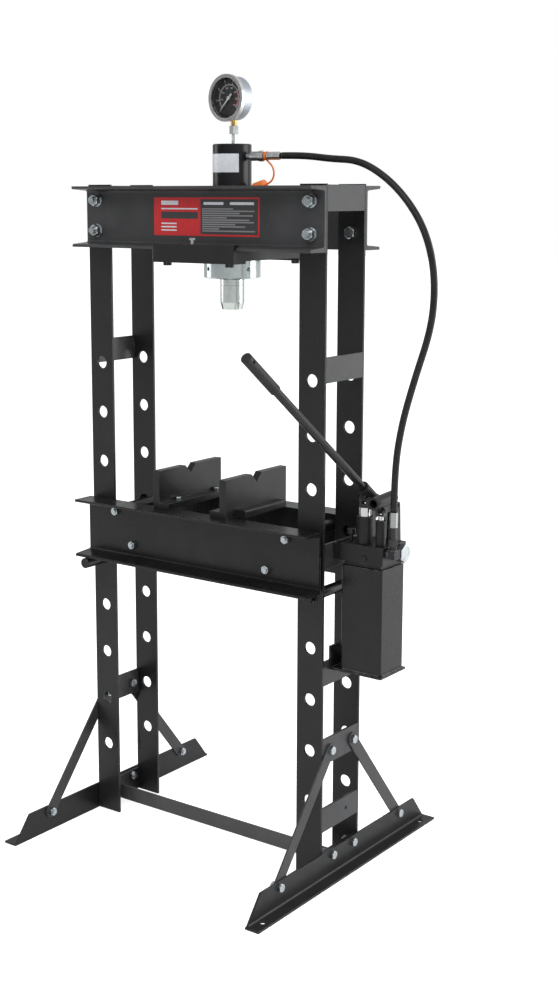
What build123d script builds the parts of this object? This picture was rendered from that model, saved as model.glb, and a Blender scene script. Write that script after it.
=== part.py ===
from build123d import *
import os
from math import cos, hypot, pi, radians, sin, sqrt, tan

# H-frame hydraulic shop press with a sliding cylinder, a two-stage hand pump and a pinned bed.
# Millimetres, +X to the pump side, +Y to the back, +Z up.
# The origin is the centre of the four floor anchor holes, on the floor.

# Uprights: four flat bars, two per side
POST_WIDTH = 68.0
POST_THICK = 6.0
POST_SPACING = 610.0  # centre to centre, left to right
FRAME_DEPTH = 156.0  # over the outer faces of a front and a rear upright
POST_FOOT_GAP = 4.0  # an upright stops this far above the floor
POST_PROUD = 4.0  # an upright stands this far above the head beams
PIN_HOLE_DIA = 29.0
PIN_HOLE_PITCH = 120.0
PIN_HOLE_FIRST = 180.0  # height of the lowest hole
PIN_HOLE_COUNT = 9
BED_HOLE = 4  # the hole, counted from 0, that carries the bed

# Channel section of the head and bed beams
BEAM_HEIGHT = 140.0
BEAM_FLANGE = 58.0
BEAM_WEB = 6.0
FLANGE_TIP = 6.5
FLANGE_ROOT = 10.5
ROOT_RADIUS = 4.5
TOE_RADIUS = 3.0
HEAD_BOTTOM = 1416.0

# Flat cross plates between a front and a rear upright
PLATE_THICK = 6.0
PLATE_HEIGHT = 56.0
BRACE_PLATE_HEIGHT = 60.0
PLATE_TOP_DROP = 2.0  # the top plate sits this far below the uprights' ends
UPPER_PLATE_Z = 1136.0
PUMP_PLATE_HIGH_Z = 724.0
PUMP_PLATE_LOW_Z = 456.0
LOW_PLATE_Z = 110.0
LOW_PLATE_HOLE_DIA = 9.0
LOW_PLATE_HOLE_Y = 25.0
BRACE_PLATE_Z = 270.0

# Feet, braces and floor tie
FOOT_HALF_LENGTH = 370.0
FOOT_CORNER_CUT = 51.0
FOOT_UPRIGHT_LEG = 64.0
FOOT_FLOOR_LEG = 36.0
FOOT_THICK = 5.0
FOOT_FILLET = 5.0
FOOT_BOLT_Z = 50.0
FOOT_BOLT_Y = 43.0
ANCHOR_DIA = 14.0
ANCHOR_Y = 330.0
ANCHOR_FROM_EDGE = 18.0
BRACE_WIDTH = 30.0
BRACE_THICK = 4.0
BRACE_TOP_Y = 45.0
BRACE_TOP_Z = 300.0
BRACE_FOOT_Y = 250.0
TIE_HEIGHT = 36.0
TIE_THICK = 5.0
TIE_Z = 3.0
FOOT_PLATE_Z = 6.0
FOOT_PLATE_HEIGHT = 56.0

# Fasteners: thread diameter and hexagon across flats
M16 = 16.0
M16_HEX = 24.0
M12 = 12.0
M12_HEX = 18.0
HEAD_SHARE = 0.64  # height of a bolt head as a share of the thread
NUT_SHARE = 0.82
BOLT_CLEARANCE = 1.5  # a bolt hole is this much larger than its bolt
THREAD_FIT = 0.05  # radial room between a bolt and its nut
THREAD_END = 3.0  # a thread stands this far out of its nut
HEAD_BOLT_END = 8.0
HEAD_BOLT_Z = (1454.0, 1524.0)
WASHER_THICK = 3.0
WASHER_DIA = 30.0

# Bed: two channels outside the uprights, held apart by tubes on long bolts
BED_GAP = 10.0  # from an upright's face to the back of a bed beam's web
BED_HIGH_BOLT_X = 251.0
BED_LOW_BOLT_X = 198.0
BED_HIGH_BOLT_RISE = 114.0  # above the underside of the bed
BED_LOW_BOLT_RISE = 37.0
SPACER_DIA = 30.0

# Bed pins
PIN_DIA = 25.0
PIN_LENGTH = 306.0
RIGHT_PIN_BACK = 60.0  # the right pin stands this much farther back than the left
PIN_CHAMFER = 2.0
SEAT_GAP = 0.3  # a round piece lies this far off what carries it

# V-blocks: upright plate, long foot on one side, short locating bar on the other
BLOCK_LENGTH = 236.0
BLOCK_HEIGHT = 90.0
BLOCK_THICK = 18.0
BLOCK_Y = 8.0  # centre of the blocks, front to back
BLOCK_LEFT_X = -111.0
BLOCK_RIGHT_X = 85.0
BLOCK_FOOT_WIDTH = 28.0
BLOCK_FOOT_HEIGHT = 15.0
BLOCK_BAR_WIDTH = 26.0
BLOCK_BAR_HEIGHT = 17.0
BLOCK_BAR_LENGTH = 156.0
BLOCK_BAR_ROUND = 4.0
NOTCH_WIDTH = 40.0

# Sliding work head under the head beams
HEAD_X = 30.0  # where the cylinder stands in the photograph
CARRIAGE_LENGTH = 228.0
CARRIAGE_PLATE = 22.0
RAIL_WALL = 8.0
RAIL_LEG = 6.0
RAIL_LEG_WIDTH = 44.0
RAIL_HOOK = 4.0
RAIL_HOOK_REACH = 11.0
RAIL_SIDE_GAP = 1.0
HOOK_GAP = 2.0  # from a flange's tip to the hook above it
SLIDE_GAP = 0.5
CARRIAGE_BOLT_X = 88.0  # from the middle of the carriage
CARRIAGE_BOLT_INSET = 20.0
CARRIAGE_BOLT_GRIP = 16.0  # into the plate
CLAMP_DIA = 8.0
CLAMP_HEX = 13.0
CLAMP_X = -10.0  # from the middle of the carriage
CLAMP_STAND = 9.0  # of thread above the hook

# Cylinder and ram
CYLINDER_DIA = 88.0
CYLINDER_BORE = 70.0
CYLINDER_TOP = 1649.0
CYLINDER_CAP = 22.0
RING_DIA = 130.0
RING_HEIGHT = 44.0
RING_BOTTOM_DROP = 2.0
COLLAR_DIA = 118.0
COLLAR_HEIGHT = 16.0
SPANNER_HOLE_DIA = 9.0
SPANNER_HOLE_DEPTH = 9.0
SPANNER_HOLE_START = -109.0  # degrees round the ring from +X
PORT_DIA = 6.0
RAM_DIA = 56.0
RAM_TIP_Z = 1278.0
RAM_TAPER = 16.0
RAM_TIP_DIA = 48.0
RAM_GROOVE_Z = 1333.0
RAM_GROOVE = 2.0
RAM_BORE = 38.0
RAM_FLOOR = 40.0  # solid steel under the ram's bore
GLAND_HEIGHT = 30.0
PISTON_HEIGHT = 34.0
PISTON_DROP = 13.0  # from the cap to the piston with the ram in
SEAL_HEIGHT = 8.0
SEAL_DEPTH = 4.0
RUNNING_FIT = 0.05
SPRING_DIA = 30.0
SPRING_WIRE = 5.0
SPRING_TURNS = 7
SPRING_STEPS = 12  # straight pieces in a turn

# Pressure gauge
GAUGE_X = 38.0
GAUGE_Y = -4.0
GAUGE_Z = 1749.0
GAUGE_BEZEL_DIA = 104.0
GAUGE_CASE_DIA = 96.0
GAUGE_DEPTH = 38.0
GAUGE_FRONT = 28.0  # from the stem's axis to the front of the bezel
GAUGE_TURN = 6.0  # degrees to the left
GAUGE_WALL = 2.0
BEZEL_DEPTH = 10.0
BEZEL_LIP = 2.0
BEZEL_OPENING = 88.0
LENS_THICK = 2.5
DIAL_THICK = 1.5
DIAL_SET_BACK = 13.0  # from the front of the bezel to the dial
NEEDLE_LENGTH = 34.0
NEEDLE_TAIL = 12.0
NEEDLE_THICK = 1.0
NEEDLE_HUB = 8.0
NEEDLE_LIFT = 2.0
SPINDLE_DIA = 3.0
STEM_DIA = 14.0
STEM_BOTTOM_Z = 1689.0
STEM_IN_CASE = 6.0
ADAPTER_HEX = 19.0
ADAPTER_HEX_Z = 1671.0
ADAPTER_DIA = 11.0
ADAPTER_GROOVE = 1.5
NEEDLE_REST = 135.0  # degrees from straight up, turning left

# Hose and its ends
HOSE_DIA = 15.0
COUPLER_Z = 1621.5
COUPLER_NIPPLE_DIA = 14.6
COUPLER_NIPPLE_END = 85.0
COUPLER_BODY_DIA = 21.0
COUPLER_BODY_END = 108.0
SLEEVE_DIA = 24.0
SLEEVE_LENGTH = 14.0
HOSE_NECK_DIA = 14.0
HOSE_NECK_LENGTH = 9.0
FERRULE_DIA = 18.0
FERRULE_LENGTH = 33.0
HOSE_FOOT_Z = 791.0
FOOT_HEX = 19.0
FOOT_HEX_HEIGHT = 14.0
STRAP_LOOP_WIDTH = 6.0
STRAP_LOOP_DIA = 20.0
STRAP_DIA = 4.0
STRAP_ROUTE = [
    (126.0, 0.0, 1613.0),
    (142.0, 0.0, 1600.0),
    (148.0, 0.0, 1583.0),
    (141.0, 0.0, 1566.0),
    (122.0, 0.0, 1558.0),
]
CAP_AXIS = (-28.0, 0.0, -8.0)
CAP_DIA = 25.0
CAP_LENGTH = 28.0
CAP_WALL = 3.0
HOSE_ROUTE = [
    (166.0, 0.0, 1621.5),
    (226.0, 0.0, 1621.5),
    (298.0, -3.0, 1613.0),
    (372.0, -5.0, 1609.0),
    (438.0, -7.0, 1576.0),
    (494.0, -9.0, 1528.0),
    (538.0, -11.0, 1468.0),
    (563.0, -14.0, 1398.0),
    (569.0, -16.0, 1324.0),
    (560.0, -18.0, 1252.0),
    (527.0, -21.0, 1152.0),
    (500.0, -25.0, 1054.0),
    (488.0, -30.0, 958.0),
    (488.0, -30.0, 865.0),
]

# Hand pump
PUMP_LEFT = 366.0
TANK_WIDTH = 104.0
TANK_DEPTH = 94.0
TANK_FRONT = -46.0
TANK_BOTTOM = 497.0
TANK_HEIGHT = 238.0
TANK_WALL = 3.0
TANK_CORNER = 4.0
TANK_RIM = 10.0  # the tank's top turns in this far
BLOCK_GAP = 10.0  # dark seat between the tank's rim and the pump block
PUMP_BLOCK_HEIGHT = 40.0
PUMP_BLOCK_OVERHANG = 2.0
SEAT_INSET = 5.0
SPIGOT_DEPTH = 12.0
SPIGOT_GAP = 0.5
BRACKET_DEPTH = 80.0
BRACKET_HEIGHT = 35.0
BRACKET_WALL = 4.0
SHELF_DEPTH = 104.0
SHELF_END = 475.0
SHELF_THICK = 5.0
SHELF_LIP = 5.0
SHELF_LIP_HEIGHT = 49.0
FAST_X = 410.0
SLOW_X = 451.0
PLUNGER_Y = -22.0
FAST_BARREL_DIA = 36.0
FAST_BARREL_TOP = 846.0
FAST_PLUNGER_DIA = 27.0
SLOW_BARREL_DIA = 23.0
SLOW_BARREL_TOP = 841.0
SLOW_PLUNGER_DIA = 12.0
FAST_PIN_Z = 883.0
SLOW_PIN_Z = 863.0
FAST_PIVOT = (36.0, 872.0)
SLOW_PIVOT = (32.0, 866.0)
LEVER_PIN_DIA = 8.0
LEVER_RIB = 10.0
FORK_ARM = 5.0
FORK_GAP = 0.6
FORK_EYE = 9.0  # radius of an ear round its pin
FORK_BASE = 26.0
PIN_END = 3.0  # a lever pin stands out this far
PLUNGER_DEPTH = 28.0  # of a plunger's bore below the top of the pump block
EYE_RADIUS = 6.4  # of a clevis
RIB_EYE = 7.5
CLEVIS_SLOT = 10.5  # from the pin down to the floor of the clevis
FAST_CLEVIS_BASE = 17.0  # from the pin down to the underside of the clevis
SLOW_CLEVIS_BASE = 12.0
PIN_PLAY = 0.4
PIN_TRAVEL = 1.2  # each way along the lever
EYE_CLEARANCE = 0.2  # round a clevis at the end of that travel
SOCKET_DIA = 28.0
SOCKET_BORE = 18.6
FAST_MOUTH = (-34.0, 912.0)  # Y and Z of the socket's open end
FAST_SOCKET_LENGTH = 76.0
FAST_SOCKET_ANGLE = 37.0  # above level, towards the front
SLOW_MOUTH = (-54.0, 882.0)
SLOW_SOCKET_LENGTH = 80.0
SLOW_SOCKET_ANGLE = -3.0
SOCKET_FLOOR = 18.0
HANDLE_DIA = 18.0
HANDLE_WALL = 2.5
HANDLE_REACH = 527.0  # from the socket's mouth to the end of the grip
GRIP_DIA = 23.0
GRIP_LENGTH = 120.0
GRIP_END = 3.0
HANG_HOLE_DIA = 7.0
HANG_HOLE_INSET = 14.0
KNOB_Y = 24.0
KNOB_Z = 763.0
KNOB_FLATS = 36.0
KNOB_NECK = 2.0
KNOB_LENGTH = 14.0
KNOB_STEM_DIA = 12.0
KNOB_STEM_DEPTH = 16.0
FITTING_Y = -30.0
FITTING_Z = 772.0
FITTING_HEX = 22.0
FITTING_HEX_LENGTH = 7.0
FITTING_SIZE = 20.0
FITTING_RISER_DIA = 15.0
FILLER_X = 374.0
FILLER_Y = -20.0
FILLER_NECK_DIA = 10.0
FILLER_NECK = 15.0
FILLER_DIA = 18.0
FILLER_HEIGHT = 14.0
FILLER_ROUND = 3.0

os.makedirs("parts", exist_ok=True)


# Shared shapes
def block(x, y, z):
    """A box from its three pairs of limits."""
    size = (x[1] - x[0], y[1] - y[0], z[1] - z[0])
    centre = ((x[0] + x[1]) / 2, (y[0] + y[1]) / 2, (z[0] + z[1]) / 2)
    return Pos(*centre) * Box(*size)


def rod(start, direction, radius, length):
    """A cylinder that begins at start and runs along direction."""
    return Plane(origin=start, z_dir=direction) * Cylinder(
        radius, length, align=(Align.CENTER, Align.CENTER, Align.MIN)
    )


def hexagon(start, direction, flats, height):
    """A hexagon bar whose outer corners are turned off, as on a nut or a bolt head."""
    bar = extrude(RegularPolygon(flats / sqrt(3), 6), height)
    top = flats / 2 * 0.97
    turned = Cone(
        top + height / tan(radians(30)),
        top,
        height,
        align=(Align.CENTER, Align.CENTER, Align.MIN),
    )
    return Plane(origin=start, z_dir=direction) * (bar & turned)


def ring(start, direction, outer, inner, length):
    """A tube or washer."""
    solid = rod(start, direction, outer, length)
    return solid - rod(start, direction, inner, length)


def save(name, *shapes):
    """Writes one node; several shapes are separate solids of the same node."""
    if len(shapes) == 1:
        export_step(shapes[0], f"parts/{name}.step")
    else:
        export_step(Compound(children=list(shapes)), f"parts/{name}.step")

def bolt(seat, outward, thread, flats, length):
    """A hexagon bolt: its head stands on seat along outward, its shank runs the other way."""
    inward = tuple(-part for part in outward)
    head = hexagon(seat, outward, flats, HEAD_SHARE * thread)
    return head + rod(seat, inward, thread / 2, length)


def nut(seat, outward, thread, flats):
    """A hexagon nut whose flat side lies on seat."""
    height = NUT_SHARE * thread
    return hexagon(seat, outward, flats, height) - rod(seat, outward, thread / 2 + THREAD_FIT, height)


def shifted(point, direction, distance):
    """The point that lies this distance along an axis direction."""
    return tuple(place + part * distance for place, part in zip(point, direction))


def bolt_and_nut(seat, outward, thread, flats, grip):
    """A bolt through a stack of plates, with its nut on the far side."""
    inward = tuple(-part for part in outward)
    length = grip + NUT_SHARE * thread + THREAD_END
    far = shifted(seat, inward, grip)
    return bolt(seat, outward, thread, flats, length), nut(far, inward, thread, flats)


def side_profile(sketch, x, thickness):
    """A sketch drawn in Y and Z, made thickness deep along +X from x."""
    return extrude(Plane.YZ.offset(x) * sketch, thickness)


def disc(y, z, radius):
    return Pos(y, z) * Circle(radius)


def hull(*sketches):
    """The outline of a band stretched round several sketches."""
    edges = [edge for sketch in sketches for edge in sketch.edges()]
    return make_face(make_hull(edges))


def channel(back, bottom, half_length):
    """A rolled channel along X whose web's back stands at y = back and whose flanges point to +Y."""
    web = back + BEAM_WEB
    toe = back + BEAM_FLANGE
    top = bottom + BEAM_HEIGHT
    section = Polygon(
        (back, bottom),
        (toe, bottom),
        (toe, bottom + FLANGE_TIP),
        (web, bottom + FLANGE_ROOT),
        (web, top - FLANGE_ROOT),
        (toe, top - FLANGE_TIP),
        (toe, top),
        (back, top),
        align=None,
    )
    inner_rows = (bottom + FLANGE_TIP / 2, top - FLANGE_TIP / 2)
    inner = section.vertices().filter_by(lambda v: inner_rows[0] < v.Y < inner_rows[1])
    section = fillet(inner.filter_by(lambda v: v.X < toe - 1), ROOT_RADIUS)
    toes = section.vertices().filter_by(lambda v: v.X > toe - 1 and inner_rows[0] < v.Y < inner_rows[1])
    section = fillet(toes, TOE_RADIUS)
    return side_profile(section, -half_length, 2 * half_length)


# Places that follow from the sizes
POST_X = POST_SPACING / 2
POST_INNER = POST_X - POST_WIDTH / 2
POST_OUTER = POST_X + POST_WIDTH / 2
POST_BACK = FRAME_DEPTH / 2
POST_FACE = POST_BACK - POST_THICK
POST_TOP = HEAD_BOTTOM + BEAM_HEIGHT + POST_PROUD
BED_PIN_Z = PIN_HOLE_FIRST + BED_HOLE * PIN_HOLE_PITCH - (PIN_HOLE_DIA - PIN_DIA) / 2 + SEAT_GAP
BED_BOTTOM = BED_PIN_Z + PIN_DIA / 2 + SEAT_GAP
BED_TOP = BED_BOTTOM + BEAM_HEIGHT
BED_BACK = POST_BACK + BED_GAP
BED_FACE = BED_BACK + BEAM_WEB
FOOT_X = POST_OUTER + BRACE_THICK
FOOT_FACE = FOOT_X + FOOT_THICK
PLATE_BACK = POST_OUTER - PLATE_THICK
ANCHOR_X = FOOT_X + FOOT_FLOOR_LEG - ANCHOR_FROM_EDGE
SIDES = (-1, 1)


# Uprights
def upright():
    """The right rear upright."""
    bar = block((POST_INNER, POST_OUTER), (POST_FACE, POST_BACK), (POST_FOOT_GAP, POST_TOP))
    for index in range(PIN_HOLE_COUNT):
        height = PIN_HOLE_FIRST + index * PIN_HOLE_PITCH
        bar -= rod((POST_X, POST_FACE, height), (0, 1, 0), PIN_HOLE_DIA / 2, POST_THICK)
    for height in HEAD_BOLT_Z:
        bar -= rod((POST_X, POST_FACE, height), (0, 1, 0), (M16 + BOLT_CLEARANCE) / 2, POST_THICK)
    return bar


right_rear = upright()
right_front = mirror(right_rear, Plane.XZ)
save("post_rear_right", right_rear)
save("post_front_right", right_front)
save("post_rear_left", mirror(right_rear, Plane.YZ))
save("post_front_left", mirror(right_front, Plane.YZ))


# Head beams
def head_beam():
    """The rear head beam."""
    beam = channel(POST_BACK, HEAD_BOTTOM, POST_OUTER)
    for side in SIDES:
        for height in HEAD_BOLT_Z:
            start = (side * POST_X, POST_BACK, height)
            beam -= rod(start, (0, 1, 0), (M16 + BOLT_CLEARANCE) / 2, BEAM_WEB)
    return beam


rear_beam = head_beam()
save("head_channel_rear", rear_beam)
save("head_channel_front", mirror(rear_beam, Plane.XZ))

head_bolts = []
head_nuts = []
for side in SIDES:
    for face in SIDES:
        for height in HEAD_BOLT_Z:
            inner = (side * POST_X, face * POST_FACE, height)
            outer = (side * POST_X, face * (POST_BACK + BEAM_WEB), height)
            outward = (0, face, 0)
            length = POST_THICK + BEAM_WEB + WASHER_THICK + NUT_SHARE * M16 + HEAD_BOLT_END
            head_bolts.append(bolt(inner, (0, -face, 0), M16, M16_HEX, length))
            head_nuts.append(ring(outer, outward, WASHER_DIA / 2, M16 / 2 + THREAD_FIT, WASHER_THICK))
            head_nuts.append(nut(shifted(outer, outward, WASHER_THICK), outward, M16, M16_HEX))
save("head_bolts", *head_bolts)
save("head_nuts", *head_nuts)


# Cross plates at the ends of the frame
def side_plate(bottom, height=PLATE_HEIGHT, thick=PLATE_THICK):
    """A flat plate between the right front and right rear uprights."""
    return block(
        (PLATE_BACK, PLATE_BACK + thick),
        (-POST_FACE, POST_FACE),
        (bottom, bottom + height),
    )


top_plate = side_plate(POST_TOP - PLATE_TOP_DROP - PLATE_HEIGHT)
upper_plate = side_plate(UPPER_PLATE_Z)
low_plate = side_plate(LOW_PLATE_Z)
low_plate -= rod(
    (PLATE_BACK, LOW_PLATE_HOLE_Y, LOW_PLATE_Z + PLATE_HEIGHT / 2),
    (1, 0, 0),
    LOW_PLATE_HOLE_DIA / 2,
    PLATE_THICK,
)
save(
    "side_plates",
    top_plate,
    mirror(top_plate, Plane.YZ),
    upper_plate,
    mirror(upper_plate, Plane.YZ),
    side_plate(PUMP_PLATE_HIGH_Z),
    side_plate(PUMP_PLATE_LOW_Z),
    low_plate,
)

# Feet with their braces; every row of holes here has a bolt in it
M12_HOLE = (M12 + BOLT_CLEARANCE) / 2
brace_plate = side_plate(BRACE_PLATE_Z, BRACE_PLATE_HEIGHT)
foot_plate = side_plate(FOOT_PLATE_Z, FOOT_PLATE_HEIGHT, PLATE_THICK + BRACE_THICK)
upright_leg = Polygon(
    (-FOOT_HALF_LENGTH, 0),
    (FOOT_HALF_LENGTH, 0),
    (FOOT_HALF_LENGTH - FOOT_CORNER_CUT, FOOT_UPRIGHT_LEG),
    (FOOT_CORNER_CUT - FOOT_HALF_LENGTH, FOOT_UPRIGHT_LEG),
    align=None,
)
foot = side_profile(upright_leg, FOOT_X, FOOT_THICK)
foot += block(
    (FOOT_X, FOOT_X + FOOT_FLOOR_LEG),
    (-FOOT_HALF_LENGTH, FOOT_HALF_LENGTH),
    (0, FOOT_THICK),
)
inside_corner = foot.edges().filter_by(Axis.Y).sort_by_distance((FOOT_FACE, 0, FOOT_THICK))[0]
foot = fillet(inside_corner, FOOT_FILLET)
braces = []
for end in SIDES:
    brace_plate -= rod(
        (PLATE_BACK, end * BRACE_TOP_Y, BRACE_TOP_Z), (1, 0, 0), M12_HOLE, PLATE_THICK
    )
    plate_hole = (PLATE_BACK, end * FOOT_BOLT_Y, FOOT_BOLT_Z)
    foot_plate -= rod(plate_hole, (1, 0, 0), M12_HOLE, PLATE_THICK + BRACE_THICK)
    for place in (FOOT_BOLT_Y, BRACE_FOOT_Y):
        foot -= rod((FOOT_X, end * place, FOOT_BOLT_Z), (1, 0, 0), M12_HOLE, FOOT_THICK)
    foot -= rod((ANCHOR_X, end * ANCHOR_Y, 0), (0, 0, 1), ANCHOR_DIA / 2, FOOT_THICK)
    brace = hull(
        disc(end * BRACE_TOP_Y, BRACE_TOP_Z, BRACE_WIDTH / 2),
        disc(end * BRACE_FOOT_Y, FOOT_BOLT_Z, BRACE_WIDTH / 2),
    )
    brace -= disc(end * BRACE_TOP_Y, BRACE_TOP_Z, M12_HOLE)
    brace -= disc(end * BRACE_FOOT_Y, FOOT_BOLT_Z, M12_HOLE)
    braces.append(side_profile(brace, POST_OUTER, BRACE_THICK))
save("brace_plates", brace_plate, mirror(brace_plate, Plane.YZ))
save("foot_plates", foot_plate, mirror(foot_plate, Plane.YZ))
save("foot_right", foot)
save("foot_left", mirror(foot, Plane.YZ))
save("braces", *braces, *[mirror(brace, Plane.YZ) for brace in braces])
save(
    "floor_tie_bar",
    block((-PLATE_BACK, PLATE_BACK), (-TIE_THICK / 2, TIE_THICK / 2), (TIE_Z, TIE_Z + TIE_HEIGHT)),
)

frame_bolts = []
frame_nuts = []
for side in SIDES:
    outward = (side, 0, 0)
    for end in SIDES:
        fixings = (
            (FOOT_X, BRACE_TOP_Y, BRACE_TOP_Z, BRACE_THICK + PLATE_THICK),
            (FOOT_FACE, BRACE_FOOT_Y, FOOT_BOLT_Z, FOOT_THICK + BRACE_THICK),
            (FOOT_FACE, FOOT_BOLT_Y, FOOT_BOLT_Z, FOOT_FACE - PLATE_BACK),
        )
        for x, y, z, grip in fixings:
            screw, its_nut = bolt_and_nut((side * x, end * y, z), outward, M12, M12_HEX, grip)
            frame_bolts.append(screw)
            frame_nuts.append(its_nut)
save("frame_bolts", *frame_bolts)
save("frame_nuts", *frame_nuts)


# Bed
bed_bolt_places = []
for side in SIDES:
    bed_bolt_places.append((side * BED_HIGH_BOLT_X, BED_BOTTOM + BED_HIGH_BOLT_RISE))
    bed_bolt_places.append((side * BED_LOW_BOLT_X, BED_BOTTOM + BED_LOW_BOLT_RISE))
bed_beam = channel(BED_BACK, BED_BOTTOM, POST_OUTER)
bed_spacers = []
bed_bolts = []
bed_nuts = []
rod_reach = BED_FACE + NUT_SHARE * M12 + THREAD_END
for x, z in bed_bolt_places:
    bed_beam -= rod((x, BED_BACK, z), (0, 1, 0), (M12 + BOLT_CLEARANCE) / 2, BEAM_WEB)
    spacer_bore = (M12 + BOLT_CLEARANCE) / 2
    bed_spacers.append(ring((x, -BED_BACK, z), (0, 1, 0), SPACER_DIA / 2, spacer_bore, 2 * BED_BACK))
    bed_bolts.append(rod((x, -rod_reach, z), (0, 1, 0), M12 / 2, 2 * rod_reach))
    for face in SIDES:
        bed_nuts.append(nut((x, face * BED_FACE, z), (0, face, 0), M12, M12_HEX))
save("bed_channel_rear", bed_beam)
save("bed_channel_front", mirror(bed_beam, Plane.XZ))
save("bed_spacers", *bed_spacers)
save("bed_bolts", *bed_bolts)
save("bed_nuts", *bed_nuts)

bed_pin = rod((POST_X, -PIN_LENGTH / 2, BED_PIN_Z), (0, 1, 0), PIN_DIA / 2, PIN_LENGTH)
bed_pin = chamfer(bed_pin.edges().filter_by(GeomType.CIRCLE), PIN_CHAMFER)
save("pin_right", Pos(0, RIGHT_PIN_BACK, 0) * bed_pin)
save("pin_left", mirror(bed_pin, Plane.YZ))


# V-blocks: the right one is the left one turned half round
def v_block():
    """A V-block about its own middle, standing on z = 0, its foot on the +X side."""
    face = BLOCK_THICK / 2
    end = BLOCK_LENGTH / 2
    bar_end = BLOCK_BAR_LENGTH / 2
    solid = block((-face, face), (-end, end), (0, BLOCK_HEIGHT))
    solid += block((face, face + BLOCK_FOOT_WIDTH), (-end, end), (0, BLOCK_FOOT_HEIGHT))
    bar = block((-face - BLOCK_BAR_WIDTH, -face), (-bar_end, bar_end), (0, BLOCK_BAR_HEIGHT))
    outer_edge = bar.edges().filter_by(Axis.Y).sort_by(Axis.Z)[-2:].sort_by(Axis.X)[0]
    bar = fillet(outer_edge, BLOCK_BAR_ROUND)
    notch = Polygon(
        (-NOTCH_WIDTH / 2, BLOCK_HEIGHT),
        (0, BLOCK_HEIGHT - NOTCH_WIDTH / 2),
        (NOTCH_WIDTH / 2, BLOCK_HEIGHT),
        align=None,
    )
    return solid + bar - side_profile(notch, -face, BLOCK_THICK)


save("v_block_left", Pos(BLOCK_LEFT_X, BLOCK_Y, BED_TOP) * v_block())
save("v_block_right", Pos(BLOCK_RIGHT_X, BLOCK_Y, BED_TOP) * Rot(0, 0, 180) * v_block())


# Carriage
CARRIAGE_TOP = HEAD_BOTTOM - SLIDE_GAP
CARRIAGE_BOTTOM = CARRIAGE_TOP - CARRIAGE_PLATE
RAIL_IN = POST_BACK + BEAM_FLANGE + RAIL_SIDE_GAP
RAIL_OUT = RAIL_IN + RAIL_WALL
HOOK_Z = HEAD_BOTTOM + FLANGE_TIP + HOOK_GAP
CARRIAGE_X = (HEAD_X - CARRIAGE_LENGTH / 2, HEAD_X + CARRIAGE_LENGTH / 2)
bolt_y = RAIL_OUT - CARRIAGE_BOLT_INSET
carriage_plate = block(CARRIAGE_X, (-RAIL_IN, RAIL_IN), (CARRIAGE_BOTTOM, CARRIAGE_TOP))
carriage_plate -= rod(
    (HEAD_X, 0, CARRIAGE_BOTTOM), (0, 0, 1), CYLINDER_DIA / 2 + RUNNING_FIT, CARRIAGE_PLATE
)
rail_outline = Polygon(
    (RAIL_OUT, CARRIAGE_BOTTOM - RAIL_LEG),
    (RAIL_OUT, HOOK_Z + RAIL_HOOK),
    (RAIL_IN - RAIL_HOOK_REACH, HOOK_Z + RAIL_HOOK),
    (RAIL_IN - RAIL_HOOK_REACH, HOOK_Z),
    (RAIL_IN, HOOK_Z),
    (RAIL_IN, CARRIAGE_BOTTOM),
    (RAIL_OUT - RAIL_LEG_WIDTH, CARRIAGE_BOTTOM),
    (RAIL_OUT - RAIL_LEG_WIDTH, CARRIAGE_BOTTOM - RAIL_LEG),
    align=None,
)
rear_rail = side_profile(rail_outline, CARRIAGE_X[0], CARRIAGE_LENGTH)
carriage_bolts = []
for end in SIDES:
    bolt_x = HEAD_X + end * CARRIAGE_BOLT_X
    leg_bottom = (bolt_x, bolt_y, CARRIAGE_BOTTOM - RAIL_LEG)
    rear_rail -= rod(leg_bottom, (0, 0, 1), M12_HOLE, RAIL_LEG)
    for face in SIDES:
        seat = (bolt_x, face * bolt_y, CARRIAGE_BOTTOM - RAIL_LEG)
        hole = (bolt_x, face * bolt_y, CARRIAGE_BOTTOM)
        carriage_plate -= rod(hole, (0, 0, 1), M12 / 2 + THREAD_FIT, CARRIAGE_BOLT_GRIP)
        carriage_bolts.append(bolt(seat, (0, 0, -1), M12, M12_HEX, RAIL_LEG + CARRIAGE_BOLT_GRIP))
front_rail = mirror(rear_rail, Plane.XZ)
clamp_y = -RAIL_IN + RAIL_HOOK_REACH / 2
clamp_hole = (HEAD_X + CLAMP_X, clamp_y, HOOK_Z)
front_rail -= rod(clamp_hole, (0, 0, 1), CLAMP_DIA / 2 + THREAD_FIT, RAIL_HOOK)
clamp_seat = shifted(clamp_hole, (0, 0, 1), RAIL_HOOK + CLAMP_STAND)
save("carriage_plate", carriage_plate)
save("carriage_rails", front_rail, rear_rail)
save("carriage_bolts", *carriage_bolts)
save("clamp_screw", bolt(clamp_seat, (0, 0, 1), CLAMP_DIA, CLAMP_HEX, CLAMP_STAND + RAIL_HOOK))

# Cylinder with its ring nut
RING_BOTTOM = CARRIAGE_BOTTOM - RING_HEIGHT
CYLINDER_BOTTOM = RING_BOTTOM - RING_BOTTOM_DROP
BORE_TOP = CYLINDER_TOP - CYLINDER_CAP
UP = (0, 0, 1)
cylinder = rod((HEAD_X, 0, CYLINDER_BOTTOM), UP, CYLINDER_DIA / 2, CYLINDER_TOP - CYLINDER_BOTTOM)
cylinder = chamfer(cylinder.edges().filter_by(GeomType.CIRCLE), PIN_CHAMFER)
cylinder += rod((HEAD_X, 0, CARRIAGE_TOP), UP, COLLAR_DIA / 2, COLLAR_HEIGHT)
gland_top = CYLINDER_BOTTOM + GLAND_HEIGHT
cylinder -= rod((HEAD_X, 0, gland_top), UP, CYLINDER_BORE / 2, BORE_TOP - gland_top)
cylinder -= rod((HEAD_X, 0, CYLINDER_BOTTOM), UP, RAM_DIA / 2 + RUNNING_FIT, GLAND_HEIGHT)
cylinder -= rod((HEAD_X, 0, COUPLER_Z), (1, 0, 0), PORT_DIA / 2, CYLINDER_DIA / 2)
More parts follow.
